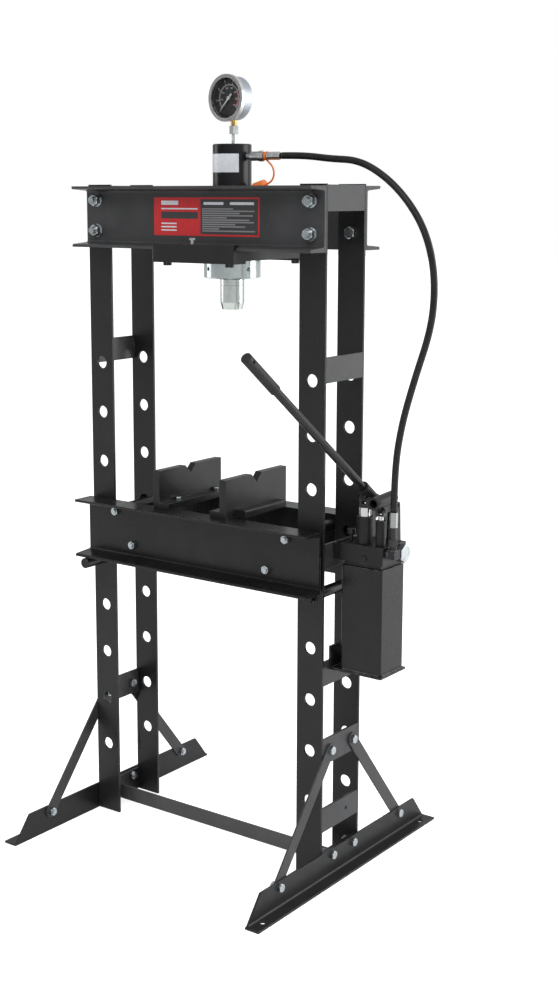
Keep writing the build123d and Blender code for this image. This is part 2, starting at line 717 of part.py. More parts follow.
save("cylinder", cylinder)

ring_nut = rod((HEAD_X, 0, RING_BOTTOM), UP, RING_DIA / 2, RING_HEIGHT)
ring_nut = chamfer(ring_nut.edges().filter_by(GeomType.CIRCLE), PIN_CHAMFER)
ring_nut -= rod((HEAD_X, 0, RING_BOTTOM), UP, CYLINDER_DIA / 2 + THREAD_FIT, RING_HEIGHT)
for quarter in range(4):
    angle = radians(SPANNER_HOLE_START + 90 * quarter)
    toward = (cos(angle), sin(angle), 0)
    mouth = (HEAD_X, 0, RING_BOTTOM + RING_HEIGHT / 2)
    hole_start = shifted(mouth, toward, RING_DIA / 2 - SPANNER_HOLE_DEPTH)
    ring_nut -= rod(hole_start, toward, SPANNER_HOLE_DIA / 2, 2 * SPANNER_HOLE_DEPTH)
save("ring_nut", ring_nut)

# Ram, its seal and the spring that pulls it back
PISTON_TOP = BORE_TOP - PISTON_DROP
PISTON_DIA = CYLINDER_BORE - 2 * RUNNING_FIT
taper_top = RAM_TIP_Z + RAM_TAPER
ram = Pos(HEAD_X, 0, RAM_TIP_Z) * Cone(
    RAM_TIP_DIA / 2, RAM_DIA / 2, RAM_TAPER, align=(Align.CENTER, Align.CENTER, Align.MIN)
)
ram += rod((HEAD_X, 0, taper_top), UP, RAM_DIA / 2, PISTON_TOP - taper_top)
ram += rod((HEAD_X, 0, PISTON_TOP - PISTON_HEIGHT), UP, PISTON_DIA / 2, PISTON_HEIGHT)
ram_floor_z = RAM_TIP_Z + RAM_TAPER + RAM_FLOOR
ram -= rod((HEAD_X, 0, ram_floor_z), UP, RAM_BORE / 2, PISTON_TOP - ram_floor_z)
ram -= ring(
    (HEAD_X, 0, RAM_GROOVE_Z), UP, RAM_DIA / 2, RAM_DIA / 2 - RAM_GROOVE / 2, RAM_GROOVE
)
seal_start = (HEAD_X, 0, PISTON_TOP - (PISTON_HEIGHT + SEAL_HEIGHT) / 2)
piston_seal = ring(seal_start, UP, PISTON_DIA / 2, PISTON_DIA / 2 - SEAL_DEPTH, SEAL_HEIGHT)
save("ram", ram - piston_seal)
save("piston_seal", piston_seal)

spring_rise = BORE_TOP - ram_floor_z - SPRING_WIRE
spring_radius = (SPRING_DIA - SPRING_WIRE) / 2
coil_points = []
for step in range(SPRING_TURNS * SPRING_STEPS + 1):
    angle = 2 * pi * step / SPRING_STEPS
    coil_points.append(
        (
            HEAD_X + spring_radius * cos(angle),
            spring_radius * sin(angle),
            ram_floor_z + SPRING_WIRE / 2 + spring_rise * step / (SPRING_TURNS * SPRING_STEPS),
        )
    )
coil = Polyline(*coil_points)
wire = Plane(origin=coil @ 0, z_dir=coil % 0) * Circle(SPRING_WIRE / 2)
save("return_spring", sweep(wire, path=coil, transition=Transition.RIGHT))

# Pressure gauge, drawn on a plane through its stem: x to the right, y up, z to the reader
turn = radians(GAUGE_TURN)
GAUGE = Plane(
    origin=(GAUGE_X, GAUGE_Y, GAUGE_Z),
    x_dir=(cos(turn), -sin(turn), 0),
    z_dir=(-sin(turn), -cos(turn), 0),
)


def gauge_round(start, length, outer, inner=0.0):
    """A disc or ring about the gauge's middle, from start towards the reader."""
    profile = Circle(outer)
    if inner:
        profile -= Circle(inner)
    return GAUGE * Pos(0, 0, start) * extrude(profile, length)


case_back = GAUGE_FRONT - GAUGE_DEPTH
bezel_back = GAUGE_FRONT - BEZEL_DEPTH
case_bore = GAUGE_CASE_DIA / 2 - GAUGE_WALL
stem_bottom = (GAUGE_X, GAUGE_Y, STEM_BOTTOM_Z)
stem_top = GAUGE_Z - GAUGE_CASE_DIA / 2 + STEM_IN_CASE
gauge_socket = rod(stem_bottom, UP, STEM_DIA / 2, stem_top - STEM_BOTTOM_Z)
gauge_case = gauge_round(case_back, bezel_back - case_back, GAUGE_CASE_DIA / 2)
gauge_case -= gauge_round(case_back + GAUGE_WALL, bezel_back - case_back, case_bore)
gauge_bezel = gauge_round(bezel_back, BEZEL_DEPTH, GAUGE_BEZEL_DIA / 2, case_bore)
gauge_bezel += gauge_round(GAUGE_FRONT - BEZEL_LIP, BEZEL_LIP, GAUGE_BEZEL_DIA / 2, BEZEL_OPENING / 2)
dial_front = GAUGE_FRONT - DIAL_SET_BACK
spindle_bore = SPINDLE_DIA / 2 + RUNNING_FIT
gauge_dial = gauge_round(dial_front - DIAL_THICK, DIAL_THICK, case_bore - RUNNING_FIT, spindle_bore)
lens_back = GAUGE_FRONT - BEZEL_LIP - LENS_THICK
save("gauge_case", gauge_case - gauge_socket)
save("gauge_bezel", gauge_bezel)
save("gauge_dial", gauge_dial)
save("gauge_lens", gauge_round(lens_back, LENS_THICK, case_bore - RUNNING_FIT))
save("gauge_socket", gauge_socket)

pointer = Polygon(
    (-NEEDLE_TAIL / 5, -NEEDLE_TAIL),
    (NEEDLE_TAIL / 5, -NEEDLE_TAIL),
    (NEEDLE_THICK / 2, NEEDLE_LENGTH),
    (-NEEDLE_THICK / 2, NEEDLE_LENGTH),
    align=None,
)
needle_z = dial_front + NEEDLE_LIFT
needle = extrude(Pos(0, 0, needle_z) * Rot(0, 0, NEEDLE_REST) * pointer, NEEDLE_THICK)
needle += Pos(0, 0, needle_z) * extrude(Circle(NEEDLE_HUB / 2), NEEDLE_LIFT)
needle += Pos(0, 0, dial_front - DIAL_THICK) * extrude(
    Circle(SPINDLE_DIA / 2), DIAL_THICK + NEEDLE_LIFT
)
save("gauge_needle", GAUGE * needle)

adapter_bottom = (GAUGE_X, GAUGE_Y, CYLINDER_TOP)
gauge_adapter = rod(adapter_bottom, UP, ADAPTER_DIA / 2, ADAPTER_HEX_Z - CYLINDER_TOP)
groove_z = (CYLINDER_TOP + ADAPTER_HEX_Z) / 2
gauge_adapter -= ring(
    (GAUGE_X, GAUGE_Y, groove_z),
    UP,
    ADAPTER_DIA / 2,
    ADAPTER_DIA / 2 - ADAPTER_GROOVE,
    2 * ADAPTER_GROOVE,
)
gauge_adapter += hexagon(
    (GAUGE_X, GAUGE_Y, ADAPTER_HEX_Z), UP, ADAPTER_HEX, STEM_BOTTOM_Z - ADAPTER_HEX_Z
)
save("gauge_adapter", gauge_adapter)

# Quick coupler, its dust cap, and the hose with an end on each side
ALONG = (1, 0, 0)
cylinder_side = HEAD_X + CYLINDER_DIA / 2
nipple_start = (cylinder_side, 0, COUPLER_Z)
coupler = rod(nipple_start, ALONG, COUPLER_NIPPLE_DIA / 2, COUPLER_NIPPLE_END - cylinder_side)
coupler += rod(
    (COUPLER_NIPPLE_END, 0, COUPLER_Z),
    ALONG,
    COUPLER_BODY_DIA / 2,
    COUPLER_BODY_END - COUPLER_NIPPLE_END,
)
inside_wall = rod((HEAD_X, 0, COUPLER_Z), ALONG, COUPLER_NIPPLE_DIA / 2, CYLINDER_DIA)
coupler += inside_wall & (
    block(
        (HEAD_X, cylinder_side),
        (-COUPLER_NIPPLE_DIA, COUPLER_NIPPLE_DIA),
        (COUPLER_Z - COUPLER_NIPPLE_DIA, COUPLER_Z + COUPLER_NIPPLE_DIA),
    )
    - rod((HEAD_X, 0, CYLINDER_BOTTOM), UP, CYLINDER_DIA / 2, CYLINDER_TOP)
)
save("coupler", coupler)

sleeve_end = COUPLER_BODY_END + SLEEVE_LENGTH
neck_end = sleeve_end + HOSE_NECK_LENGTH
hose_end_top = rod((COUPLER_BODY_END, 0, COUPLER_Z), ALONG, SLEEVE_DIA / 2, SLEEVE_LENGTH)
hose_end_top += rod((sleeve_end, 0, COUPLER_Z), ALONG, HOSE_NECK_DIA / 2, HOSE_NECK_LENGTH)
hose_end_top += rod(
    (neck_end, 0, COUPLER_Z), ALONG, FERRULE_DIA / 2, HOSE_ROUTE[0][0] - neck_end
)
save("hose_end_top", hose_end_top)


def corner_radii(points):
    """For each bend, an arc that uses 0.45 of the shorter run beside it."""
    radii = []
    for before, corner, after in zip(points, points[1:], points[2:]):
        arriving = Vector(*corner) - Vector(*before)
        leaving = Vector(*after) - Vector(*corner)
        half_turn = radians(arriving.get_angle(leaving)) / 2
        radii.append(0.45 * min(arriving.length, leaving.length) / tan(half_turn))
    return radii


def tube(points, diameter):
    """A round tube along straight runs joined by tangent arcs."""
    path = FilletPolyline(*points, radius=corner_radii(points))
    section = Plane(origin=path @ 0, z_dir=path % 0) * Circle(diameter / 2)
    return sweep(section, path=path), path.length


hose, hose_length = tube(HOSE_ROUTE, HOSE_DIA)
print("hose radii", [round(radius) for radius in corner_radii(HOSE_ROUTE)])
print("hose volume share", hose.volume / (pi * HOSE_DIA**2 / 4 * hose_length))
save("hose", hose)

hose_foot = HOSE_ROUTE[-1]
foot_x, foot_y, ferrule_top = hose_foot
ferrule_bottom = ferrule_top - FERRULE_LENGTH
hose_end_bottom = hexagon((foot_x, foot_y, HOSE_FOOT_Z), UP, FOOT_HEX, FOOT_HEX_HEIGHT)
hose_end_bottom += rod(
    (foot_x, foot_y, HOSE_FOOT_Z), UP, HOSE_NECK_DIA / 2, ferrule_bottom - HOSE_FOOT_Z
)
hose_end_bottom += rod((foot_x, foot_y, ferrule_bottom), UP, FERRULE_DIA / 2, FERRULE_LENGTH)
save("hose_end_bottom", hose_end_bottom)

strap, strap_length = tube(STRAP_ROUTE, STRAP_DIA)
loop_middle = neck_end - HOSE_NECK_LENGTH / 2
strap_loop = ring(
    (loop_middle - STRAP_LOOP_WIDTH / 2, 0, COUPLER_Z),
    ALONG,
    STRAP_LOOP_DIA / 2,
    HOSE_NECK_DIA / 2 + SEAT_GAP,
    STRAP_LOOP_WIDTH,
)
cap_direction = Vector(*CAP_AXIS).normalized()
cap_start = Vector(*STRAP_ROUTE[-1])
dust_cap = rod(cap_start, cap_direction, CAP_DIA / 2, CAP_LENGTH)
dust_cap -= rod(
    cap_start + cap_direction * CAP_WALL, cap_direction, CAP_DIA / 2 - CAP_WALL, CAP_LENGTH
)
save("dust_cap", strap_loop + strap + dust_cap)

# Pump tank on its shelf
TANK_X = (PUMP_LEFT, PUMP_LEFT + TANK_WIDTH)
TANK_Y = (TANK_FRONT, TANK_FRONT + TANK_DEPTH)
TANK_TOP = TANK_BOTTOM + TANK_HEIGHT
BLOCK_BOTTOM = TANK_TOP + BLOCK_GAP
BLOCK_TOP = BLOCK_BOTTOM + PUMP_BLOCK_HEIGHT
BLOCK_X = (TANK_X[0] - PUMP_BLOCK_OVERHANG, TANK_X[1] + PUMP_BLOCK_OVERHANG)
BLOCK_Y_LIMITS = (TANK_Y[0], TANK_Y[1] + PUMP_BLOCK_OVERHANG)


def inset(limits, amount):
    return (limits[0] + amount, limits[1] - amount)


tank = block(TANK_X, TANK_Y, (TANK_BOTTOM, TANK_TOP))
tank = fillet(tank.edges().filter_by(Axis.Z), TANK_CORNER)
tank -= block(
    inset(TANK_X, TANK_WALL), inset(TANK_Y, TANK_WALL), inset((TANK_BOTTOM, TANK_TOP), TANK_WALL)
)
tank -= block(
    inset(TANK_X, TANK_RIM), inset(TANK_Y, TANK_RIM), (TANK_TOP - TANK_WALL, TANK_TOP)
)
save("pump_tank", tank)

shelf_top = TANK_BOTTOM
shelf_y = (-SHELF_DEPTH / 2, SHELF_DEPTH / 2)
shelf = block((POST_OUTER, SHELF_END), shelf_y, (shelf_top - SHELF_THICK, shelf_top))
shelf += block(
    (POST_OUTER, POST_OUTER + SHELF_LIP), shelf_y, (shelf_top, shelf_top + SHELF_LIP_HEIGHT)
)
bracket_z = (BLOCK_BOTTOM, BLOCK_BOTTOM + BRACKET_HEIGHT)
bracket_x = (POST_OUTER, BLOCK_X[0])
bracket_y = (-BRACKET_DEPTH / 2, BRACKET_DEPTH / 2)
bracket = block(bracket_x, bracket_y, bracket_z)
bracket -= block(inset(bracket_x, BRACKET_WALL), inset(bracket_y, BRACKET_WALL), bracket_z)
save("pump_brackets", shelf, bracket)


# Two-stage pump: on each stage a lever pivots in a fork and drives a plunger through a clevis
def fork(x, pivot, half_gap):
    """Two ears that stand on the pump block on both sides of a lever."""
    y, z = pivot
    ear = hull(
        Pos(y, BLOCK_TOP + 1) * Rectangle(FORK_BASE, 2),
        disc(y, z, FORK_EYE),
    )
    ear -= disc(y, z, LEVER_PIN_DIA / 2 + RUNNING_FIT)
    right = side_profile(ear, x + half_gap, FORK_ARM)
    left = side_profile(ear, x - half_gap - FORK_ARM, FORK_ARM)
    return right + left


def plunger(x, diameter, pin_z, clevis_base):
    """A plunger with a clevis and its pin on top."""
    bottom = BLOCK_TOP
    base = pin_z - clevis_base
    slot = LEVER_RIB / 2 + FORK_GAP
    outer = slot + FORK_ARM
    solid = rod((x, PLUNGER_Y, bottom), UP, diameter / 2, base - bottom)
    ears = hull(
        disc(PLUNGER_Y, pin_z, EYE_RADIUS),
        Pos(PLUNGER_Y, base + 1) * Rectangle(2 * EYE_RADIUS, 2),
    )
    solid += side_profile(ears, x - outer, 2 * outer)
    solid -= block(
        (x - slot, x + slot),
        (PLUNGER_Y - diameter, PLUNGER_Y + diameter),
        (pin_z - CLEVIS_SLOT, pin_z + EYE_RADIUS),
    )
    pin_reach = outer + PIN_END
    return solid + rod((x - pin_reach, PLUNGER_Y, pin_z), ALONG, LEVER_PIN_DIA / 2, 2 * pin_reach)


def lever(x, pivot, pin_z, mouth, angle, length, half_gap):
    """A handle socket with a rib for the plunger's pin and a boss round its own pivot pin."""
    slope = radians(angle)
    into = (0, cos(slope), -sin(slope))
    mouth_point = (x, mouth[0], mouth[1])

    def on_axis(distance):
        place = shifted(mouth_point, into, distance)
        return disc(place[1], place[2], LEVER_RIB / 2)

    rib = hull(
        disc(pivot[0], pivot[1], FORK_EYE),
        disc(PLUNGER_Y, pin_z, RIB_EYE),
        on_axis(SOCKET_DIA / 2),
        on_axis(length - SOCKET_DIA / 2),
    )
    solid = side_profile(rib, x - LEVER_RIB / 2, LEVER_RIB)
    solid += rod(mouth_point, into, SOCKET_DIA / 2, length)
    boss = half_gap - FORK_GAP
    solid += rod((x - boss, pivot[0], pivot[1]), ALONG, FORK_EYE, 2 * boss)
    reach = half_gap + FORK_ARM + PIN_END
    solid += rod((x - reach, pivot[0], pivot[1]), ALONG, LEVER_PIN_DIA / 2, 2 * reach)
    solid -= rod(mouth_point, into, SOCKET_BORE / 2, length - SOCKET_FLOOR)
    clear_eye = EYE_RADIUS + PIN_TRAVEL + EYE_CLEARANCE
    eye_inner = LEVER_RIB / 2
    eye_outer = LEVER_RIB / 2 + FORK_ARM + PIN_END + 2 * FORK_GAP
    for start in (x + eye_inner, x - eye_outer):
        solid -= rod((start, PLUNGER_Y, pin_z), ALONG, clear_eye, eye_outer - eye_inner)
    away = hypot(pivot[0] - PLUNGER_Y, pivot[1] - pin_z)
    along_rib = ((PLUNGER_Y - pivot[0]) / away, (pin_z - pivot[1]) / away)
    play = LEVER_PIN_DIA / 2 + PIN_PLAY
    slot = hull(
        *[
            disc(PLUNGER_Y + along_rib[0] * shift, pin_z + along_rib[1] * shift, play)
            for shift in (-PIN_TRAVEL, PIN_TRAVEL)
        ]
    )
    return solid - side_profile(slot, x - LEVER_RIB / 2, LEVER_RIB)


pump_block = block(BLOCK_X, BLOCK_Y_LIMITS, (BLOCK_BOTTOM, BLOCK_TOP))
seat_x = inset(TANK_X, SEAT_INSET)
seat_y = inset(TANK_Y, SEAT_INSET)
spigot_inset = TANK_RIM + SPIGOT_GAP
pump_block += block(seat_x, seat_y, (TANK_TOP, BLOCK_BOTTOM))
pump_block += block(
    inset(TANK_X, spigot_inset), inset(TANK_Y, spigot_inset), (TANK_TOP - SPIGOT_DEPTH, TANK_TOP)
)
fast_gap = SOCKET_DIA / 2 + FORK_GAP
slow_gap = LEVER_RIB / 2 + FORK_GAP
pump_block += fork(FAST_X, FAST_PIVOT, fast_gap)
pump_block += fork(SLOW_X, SLOW_PIVOT, slow_gap)
barrels = []
stages = (
    (FAST_X, FAST_BARREL_DIA, FAST_BARREL_TOP, FAST_PLUNGER_DIA),
    (SLOW_X, SLOW_BARREL_DIA, SLOW_BARREL_TOP, SLOW_PLUNGER_DIA),
)
for x, barrel_dia, barrel_top, plunger_dia in stages:
    bore = plunger_dia / 2 + RUNNING_FIT
    barrel_start = (x, PLUNGER_Y, BLOCK_TOP)
    barrels.append(ring(barrel_start, UP, barrel_dia / 2, bore, barrel_top - BLOCK_TOP))
    pump_block -= rod((x, PLUNGER_Y, BLOCK_TOP - PLUNGER_DEPTH), UP, bore, PLUNGER_DEPTH)
knob_bore_start = (BLOCK_X[1] - KNOB_STEM_DEPTH, KNOB_Y, KNOB_Z)
pump_block -= rod(knob_bore_start, ALONG, KNOB_STEM_DIA / 2 + RUNNING_FIT, KNOB_STEM_DEPTH)
save("pump_block", pump_block)
save("pump_barrels", *barrels)
save("fast_plunger", plunger(FAST_X, FAST_PLUNGER_DIA, FAST_PIN_Z, FAST_CLEVIS_BASE))
save("slow_plunger", plunger(SLOW_X, SLOW_PLUNGER_DIA, SLOW_PIN_Z, SLOW_CLEVIS_BASE))
fast_lever = lever(
    FAST_X, FAST_PIVOT, FAST_PIN_Z, FAST_MOUTH, FAST_SOCKET_ANGLE, FAST_SOCKET_LENGTH, fast_gap
)
slow_lever = lever(
    SLOW_X, SLOW_PIVOT, SLOW_PIN_Z, SLOW_MOUTH, SLOW_SOCKET_ANGLE, SLOW_SOCKET_LENGTH, slow_gap
)
save("fast_lever", fast_lever)
save("slow_lever", slow_lever)

# Handle, drawn in the fast lever's socket
slope = radians(FAST_SOCKET_ANGLE)
outward = (0, -cos(slope), sin(slope))
mouth_point = (FAST_X, FAST_MOUTH[0], FAST_MOUTH[1])
handle_depth = FAST_SOCKET_LENGTH - SOCKET_FLOOR
tube_length = handle_depth + HANDLE_REACH - GRIP_END
handle_tube = ring(
    shifted(mouth_point, outward, -handle_depth),
    outward,
    HANDLE_DIA / 2,
    HANDLE_DIA / 2 - HANDLE_WALL,
    tube_length,
)
grip_start = shifted(mouth_point, outward, HANDLE_REACH - GRIP_LENGTH)
handle_grip = rod(grip_start, outward, GRIP_DIA / 2, GRIP_LENGTH)
handle_grip -= rod(grip_start, outward, HANDLE_DIA / 2 + RUNNING_FIT, GRIP_LENGTH - GRIP_END)
hang_point = shifted(mouth_point, outward, HANDLE_REACH - HANG_HOLE_INSET)
hang_hole = rod(
    shifted(hang_point, ALONG, -GRIP_DIA / 2), ALONG, HANG_HOLE_DIA / 2, GRIP_DIA
)
save("handle_tube", handle_tube - hang_hole)
save("handle_grip", handle_grip - hang_hole)

# Release knob, hose fitting and filler cap on the pump block
knob_start = (BLOCK_X[1] + KNOB_NECK, KNOB_Y, KNOB_Z)
release_knob = hexagon(knob_start, ALONG, KNOB_FLATS, KNOB_LENGTH)
stem_start = shifted(knob_start, ALONG, -KNOB_NECK - KNOB_STEM_DEPTH)
release_knob += rod(stem_start, ALONG, KNOB_STEM_DIA / 2, KNOB_STEM_DEPTH + KNOB_NECK)
save("release_knob", release_knob)

half_size = FITTING_SIZE / 2
elbow_x = (BLOCK_X[1] + FITTING_HEX_LENGTH, hose_foot[0] + half_size)
pump_fitting = hexagon(
    (BLOCK_X[1], FITTING_Y, FITTING_Z), ALONG, FITTING_HEX, FITTING_HEX_LENGTH
)
pump_fitting += block(
    elbow_x,
    (FITTING_Y - half_size, FITTING_Y + half_size),
    (FITTING_Z - half_size, FITTING_Z + half_size),
)
pump_fitting += rod(
    (foot_x, foot_y, FITTING_Z), UP, FITTING_RISER_DIA / 2, HOSE_FOOT_Z - FITTING_Z
)
save("pump_fitting", pump_fitting)

filler_cap = rod((FILLER_X, FILLER_Y, BLOCK_TOP), UP, FILLER_NECK_DIA / 2, FILLER_NECK)
filler_head = rod(
    (FILLER_X, FILLER_Y, BLOCK_TOP + FILLER_NECK), UP, FILLER_DIA / 2, FILLER_HEIGHT
)
filler_cap += fillet(filler_head.edges().filter_by(GeomType.CIRCLE), FILLER_ROUND)
save("filler_cap", filler_cap)
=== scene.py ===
import math

import bmesh
import bpy
from mathutils import Matrix, Vector

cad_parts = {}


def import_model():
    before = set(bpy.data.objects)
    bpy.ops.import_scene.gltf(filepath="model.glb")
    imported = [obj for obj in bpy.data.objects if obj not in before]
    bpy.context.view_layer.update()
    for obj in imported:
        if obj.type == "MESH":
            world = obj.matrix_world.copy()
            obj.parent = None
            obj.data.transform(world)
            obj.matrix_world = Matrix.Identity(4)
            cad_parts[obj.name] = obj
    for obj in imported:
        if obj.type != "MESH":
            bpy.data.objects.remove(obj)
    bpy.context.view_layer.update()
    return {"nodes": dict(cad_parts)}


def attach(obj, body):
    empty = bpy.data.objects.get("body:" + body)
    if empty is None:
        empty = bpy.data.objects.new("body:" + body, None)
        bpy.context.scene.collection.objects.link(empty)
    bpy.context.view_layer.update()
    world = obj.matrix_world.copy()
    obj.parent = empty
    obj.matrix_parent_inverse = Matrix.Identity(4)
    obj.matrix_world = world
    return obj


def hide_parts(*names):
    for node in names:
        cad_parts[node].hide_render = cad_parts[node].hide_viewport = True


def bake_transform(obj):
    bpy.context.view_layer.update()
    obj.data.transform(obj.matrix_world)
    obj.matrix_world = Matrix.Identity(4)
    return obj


# H-frame hydraulic shop press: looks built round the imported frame. Metres, +X to the pump, +Z up.
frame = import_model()
nodes = frame["nodes"]
UP = Vector((0, 0, 1))

# Camera of the photograph
CAMERA_AT = (2.1188, -2.7353, 1.5368)
CAMERA_YAW = 36.82  # degrees, turning left from straight back
CAMERA_DOWN = 9.775
CAMERA_LENS = 53.88
CAMERA_SHIFT = (0.0323, -0.0475)
CAMERA_REACH = 100

# Floor, sky and lamps
FLOOR_HALF = 30.0
FLOOR_GLOW = 0.75
FLOOR_GLOW_MIRRORED = 0.25
SKY_TINT = (0.97, 0.985, 1.0, 1)
SKY_MEAN = 0.58
SKY_SLOPE = (0.26, 0.20, 0.16)  # the studio is brighter to the right, at the back and overhead
LAMPS = {  # place, aim, width and height, watts
    "key": ((1.0, -3.2, 4.6), (0, 0, 0.9), (3.0, 3.0), 100),
    "right": ((3.8, 2.7, 1.8), (0.3, 0, 0.9), (2.8, 3.6), 110),
    "left": ((-3.8, -1.2, 2.4), (0, 0, 1.0), (2.0, 3.0), 40),
}

# Hose route, as in the part's source
HOSE_ROUTE = [
    (0.166, 0.0, 1.6215),
    (0.226, 0.0, 1.6215),
    (0.298, -0.003, 1.613),
    (0.372, -0.005, 1.609),
    (0.438, -0.007, 1.576),
    (0.494, -0.009, 1.528),
    (0.538, -0.011, 1.468),
    (0.563, -0.014, 1.398),
    (0.569, -0.016, 1.324),
    (0.560, -0.018, 1.252),
    (0.527, -0.021, 1.152),
    (0.500, -0.025, 1.054),
    (0.488, -0.030, 0.958),
    (0.488, -0.030, 0.865),
]
HOSE_DIAMETER = 0.015
HOSE_SIDES = 24
HOSE_RESOLUTION = 14

# Pressure gauge, about the middle of its stem: x right, y up, z to the reader
GAUGE_AT = Vector((0.038, -0.004, 1.749))
GAUGE_TURN = math.radians(6)
GAUGE_FRONT = 0.028
DIAL_DEPTH = 0.013
PRINT_LIFT = 0.00015  # print stands this far off what it is on
PRINT_Z = GAUGE_FRONT - DIAL_DEPTH + PRINT_LIFT

# Scale of the gauge
SCALE_RADIUS = 0.0285
SCALE_SWEEP = 270
SCALE_TOP = 700
SCALE_STEP = 100
SCALE_LINE = (SCALE_RADIUS - 0.0004, SCALE_RADIUS + 0.0002)
RED_FROM = 500
RED_LINE = (SCALE_RADIUS - 0.0030, SCALE_RADIUS - 0.0008)
ARC_STEPS = 120  # round the whole scale
TICKS_PER_STEP = 10
LONG_TICK = (0.0055, 0.00055)  # length and half of the width
MIDDLE_TICK = (0.0038, 0.00028)
SHORT_TICK = (0.0026, 0.00028)
NUMBER_ROWS = ((0.0385, 0.0056, 10), (0.0225, 0.0050, 1))  # radius, size of the digits, divisor

# Label on the head beam: a red plate with a dark field on its right half
WEB_FRONT = -0.084
LABEL_X = (-0.131, 0.169)
LABEL_Z = (1.4455, 1.5310)
LABEL_SPLIT_X = 0.005
LABEL_BORDER = 0.004
LABEL_LIFT = 0.0003
FIELD_LIFT = 0.0005
ROW_LIFT = 0.0006
ROW_MARGIN = 0.005
ROW_REACHES = (0.98, 0.32, 0.80, 0.62, 0.96, 0.88, 0.46, 0.94, 0.70, 0.97, 0.58)  # of the width
ROW_HEIGHT = 0.62  # of the pitch
TABLE_FOOT = 0.006
TABLE_HEAD = 0.018
HEADING_DROP = (0.0125, 0.0065)  # below the field's top
HEADING_X = (0.004, 0.060)  # from the left end of the rows
MARK_X = (-0.072, -0.006)  # from the right end of the rows
BLOCK_MARGIN = (0.022, 0.008)
BAR_Z = (1.4835, 1.4985)
LINE_Z = (1.5040, 1.5070)
BADGE_Z = (1.5140, 1.5235)
BADGE_WIDTH = 0.050
NOTE_COUNT = 3
NOTE_FIRST_Z = 1.4560
NOTE_PITCH = 0.0075
NOTE_WIDTH = 0.045
NOTE_HEIGHT = 0.0030

# Label on the cylinder
CYLINDER_X = 0.030
CYLINDER_RADIUS = 0.044
CYLINDER_LABEL_Z = (1.586, 1.627)
CYLINDER_LABEL_TURN = (-165, -33)  # degrees round the cylinder from +X
CYLINDER_LABEL_STEPS = 40

# Pump plug and the V-block's screws: size is the width across flats and the height
PLUG_AT = (0.424, -0.0458, 0.757)
PLUG_SIZE = (0.012, 0.003)
V_SCREWS = ((-0.095, -0.050, 0.826), (-0.095, 0.095, 0.826))
V_SCREW_SIZE = (0.013, 0.006)
CHAMFER_FROM = 0.75  # of the head's height
CHAMFER_TOP = 0.86  # of the head's radius

# Weld beads on the tank's foot and where the plates meet the uprights
TANK_X = (0.366, 0.470)
TANK_Y = (-0.046, 0.048)
TANK_FOOT = 0.4972
TANK_BEAD = 0.003
TANK_BEAD_END = 0.004
PLATE_IN = 0.333
UPRIGHT_IN = 0.072
PLATE_BOTTOMS = {"right": (0.110, 0.456, 0.724, 1.136), "left": (0.110, 1.136)}
PLATE_HEIGHT = 0.056
PLATE_BEAD = 0.0022
PLATE_BEAD_END = 0.003
BEAD_SIDES = 8
RIPPLE = 0.0032
RINGS_PER_RIPPLE = 4
RIPPLE_DEPTH = 0.10  # of the bead's radius
BEAD_DRIFTS = ((0.37, 0.10), (0.11, 0.12))  # radians from ring to ring, share of the radius
BEAD_TIP = 0.45
BEAD_TAPER = 0.3  # what each ring from the tip adds

# Finishes: where the plungers' chrome and the hose ferrule's zinc end, rounded edges, and lighter edges
# that are partly wear and partly a painted edge highlight
FAST_CHROME_TOP = 0.866
SLOW_CHROME_TOP = 0.851
FERRULE_FROM = 0.832
PAINT_SPECULAR = 0.27
PAINT_EDGE = 0.0016
METAL_EDGE = 0.0009
SOFT_EDGE = 0.0008
STEEL_EDGE = 0.0003
EDGE_SAMPLES = 4
EDGE_FROM = 0.985  # cosine between the rounded and the true normal
EDGE_FULL = 0.86
TURNED = (3, 3, 900)  # stretch of the tool marks on turned, ground and drawn metal
FINE_TURNED = (3, 3, 1200)
GROUND = (3, 3, 1500)
DRAWN = (8, 8, 8)


# Shader nodes
class Nodes:
    """Shader nodes of one tree, with short calls to add and join them."""

    def __init__(self, tree):
        self.tree = tree

    def join(self, value, socket):
        """Link an output to a socket, or give the socket a constant."""
        if isinstance(value, bpy.types.NodeSocket):
            self.tree.links.new(value, socket)
        else:
            socket.default_value = value

    def add(self, kind, inputs=None, **settings):
        made = self.tree.nodes.new(kind)
        for name, value in settings.items():
            setattr(made, name, value)
        for key, value in (inputs or {}).items():
            self.join(value, made.inputs[key])
        return made

    def range(self, value, low, high, to_low=0.0, to_high=1.0):
        inputs = {
            "Value": value,
            "From Min": low,
            "From Max": high,
            "To Min": to_low,
            "To Max": to_high,
        }
        return self.add("ShaderNodeMapRange", inputs).outputs[0]

    def math(self, operation, first, second):
        return self.add("ShaderNodeMath", {0: first, 1: second}, operation=operation).outputs[0]

    def mix(self, amount, first, second):
        """Two colours mixed; the node keeps its colour sockets at these places."""
        inputs = {0: amount, 6: first, 7: second}
        return self.add("ShaderNodeMix", inputs, data_type="RGBA").outputs[2]


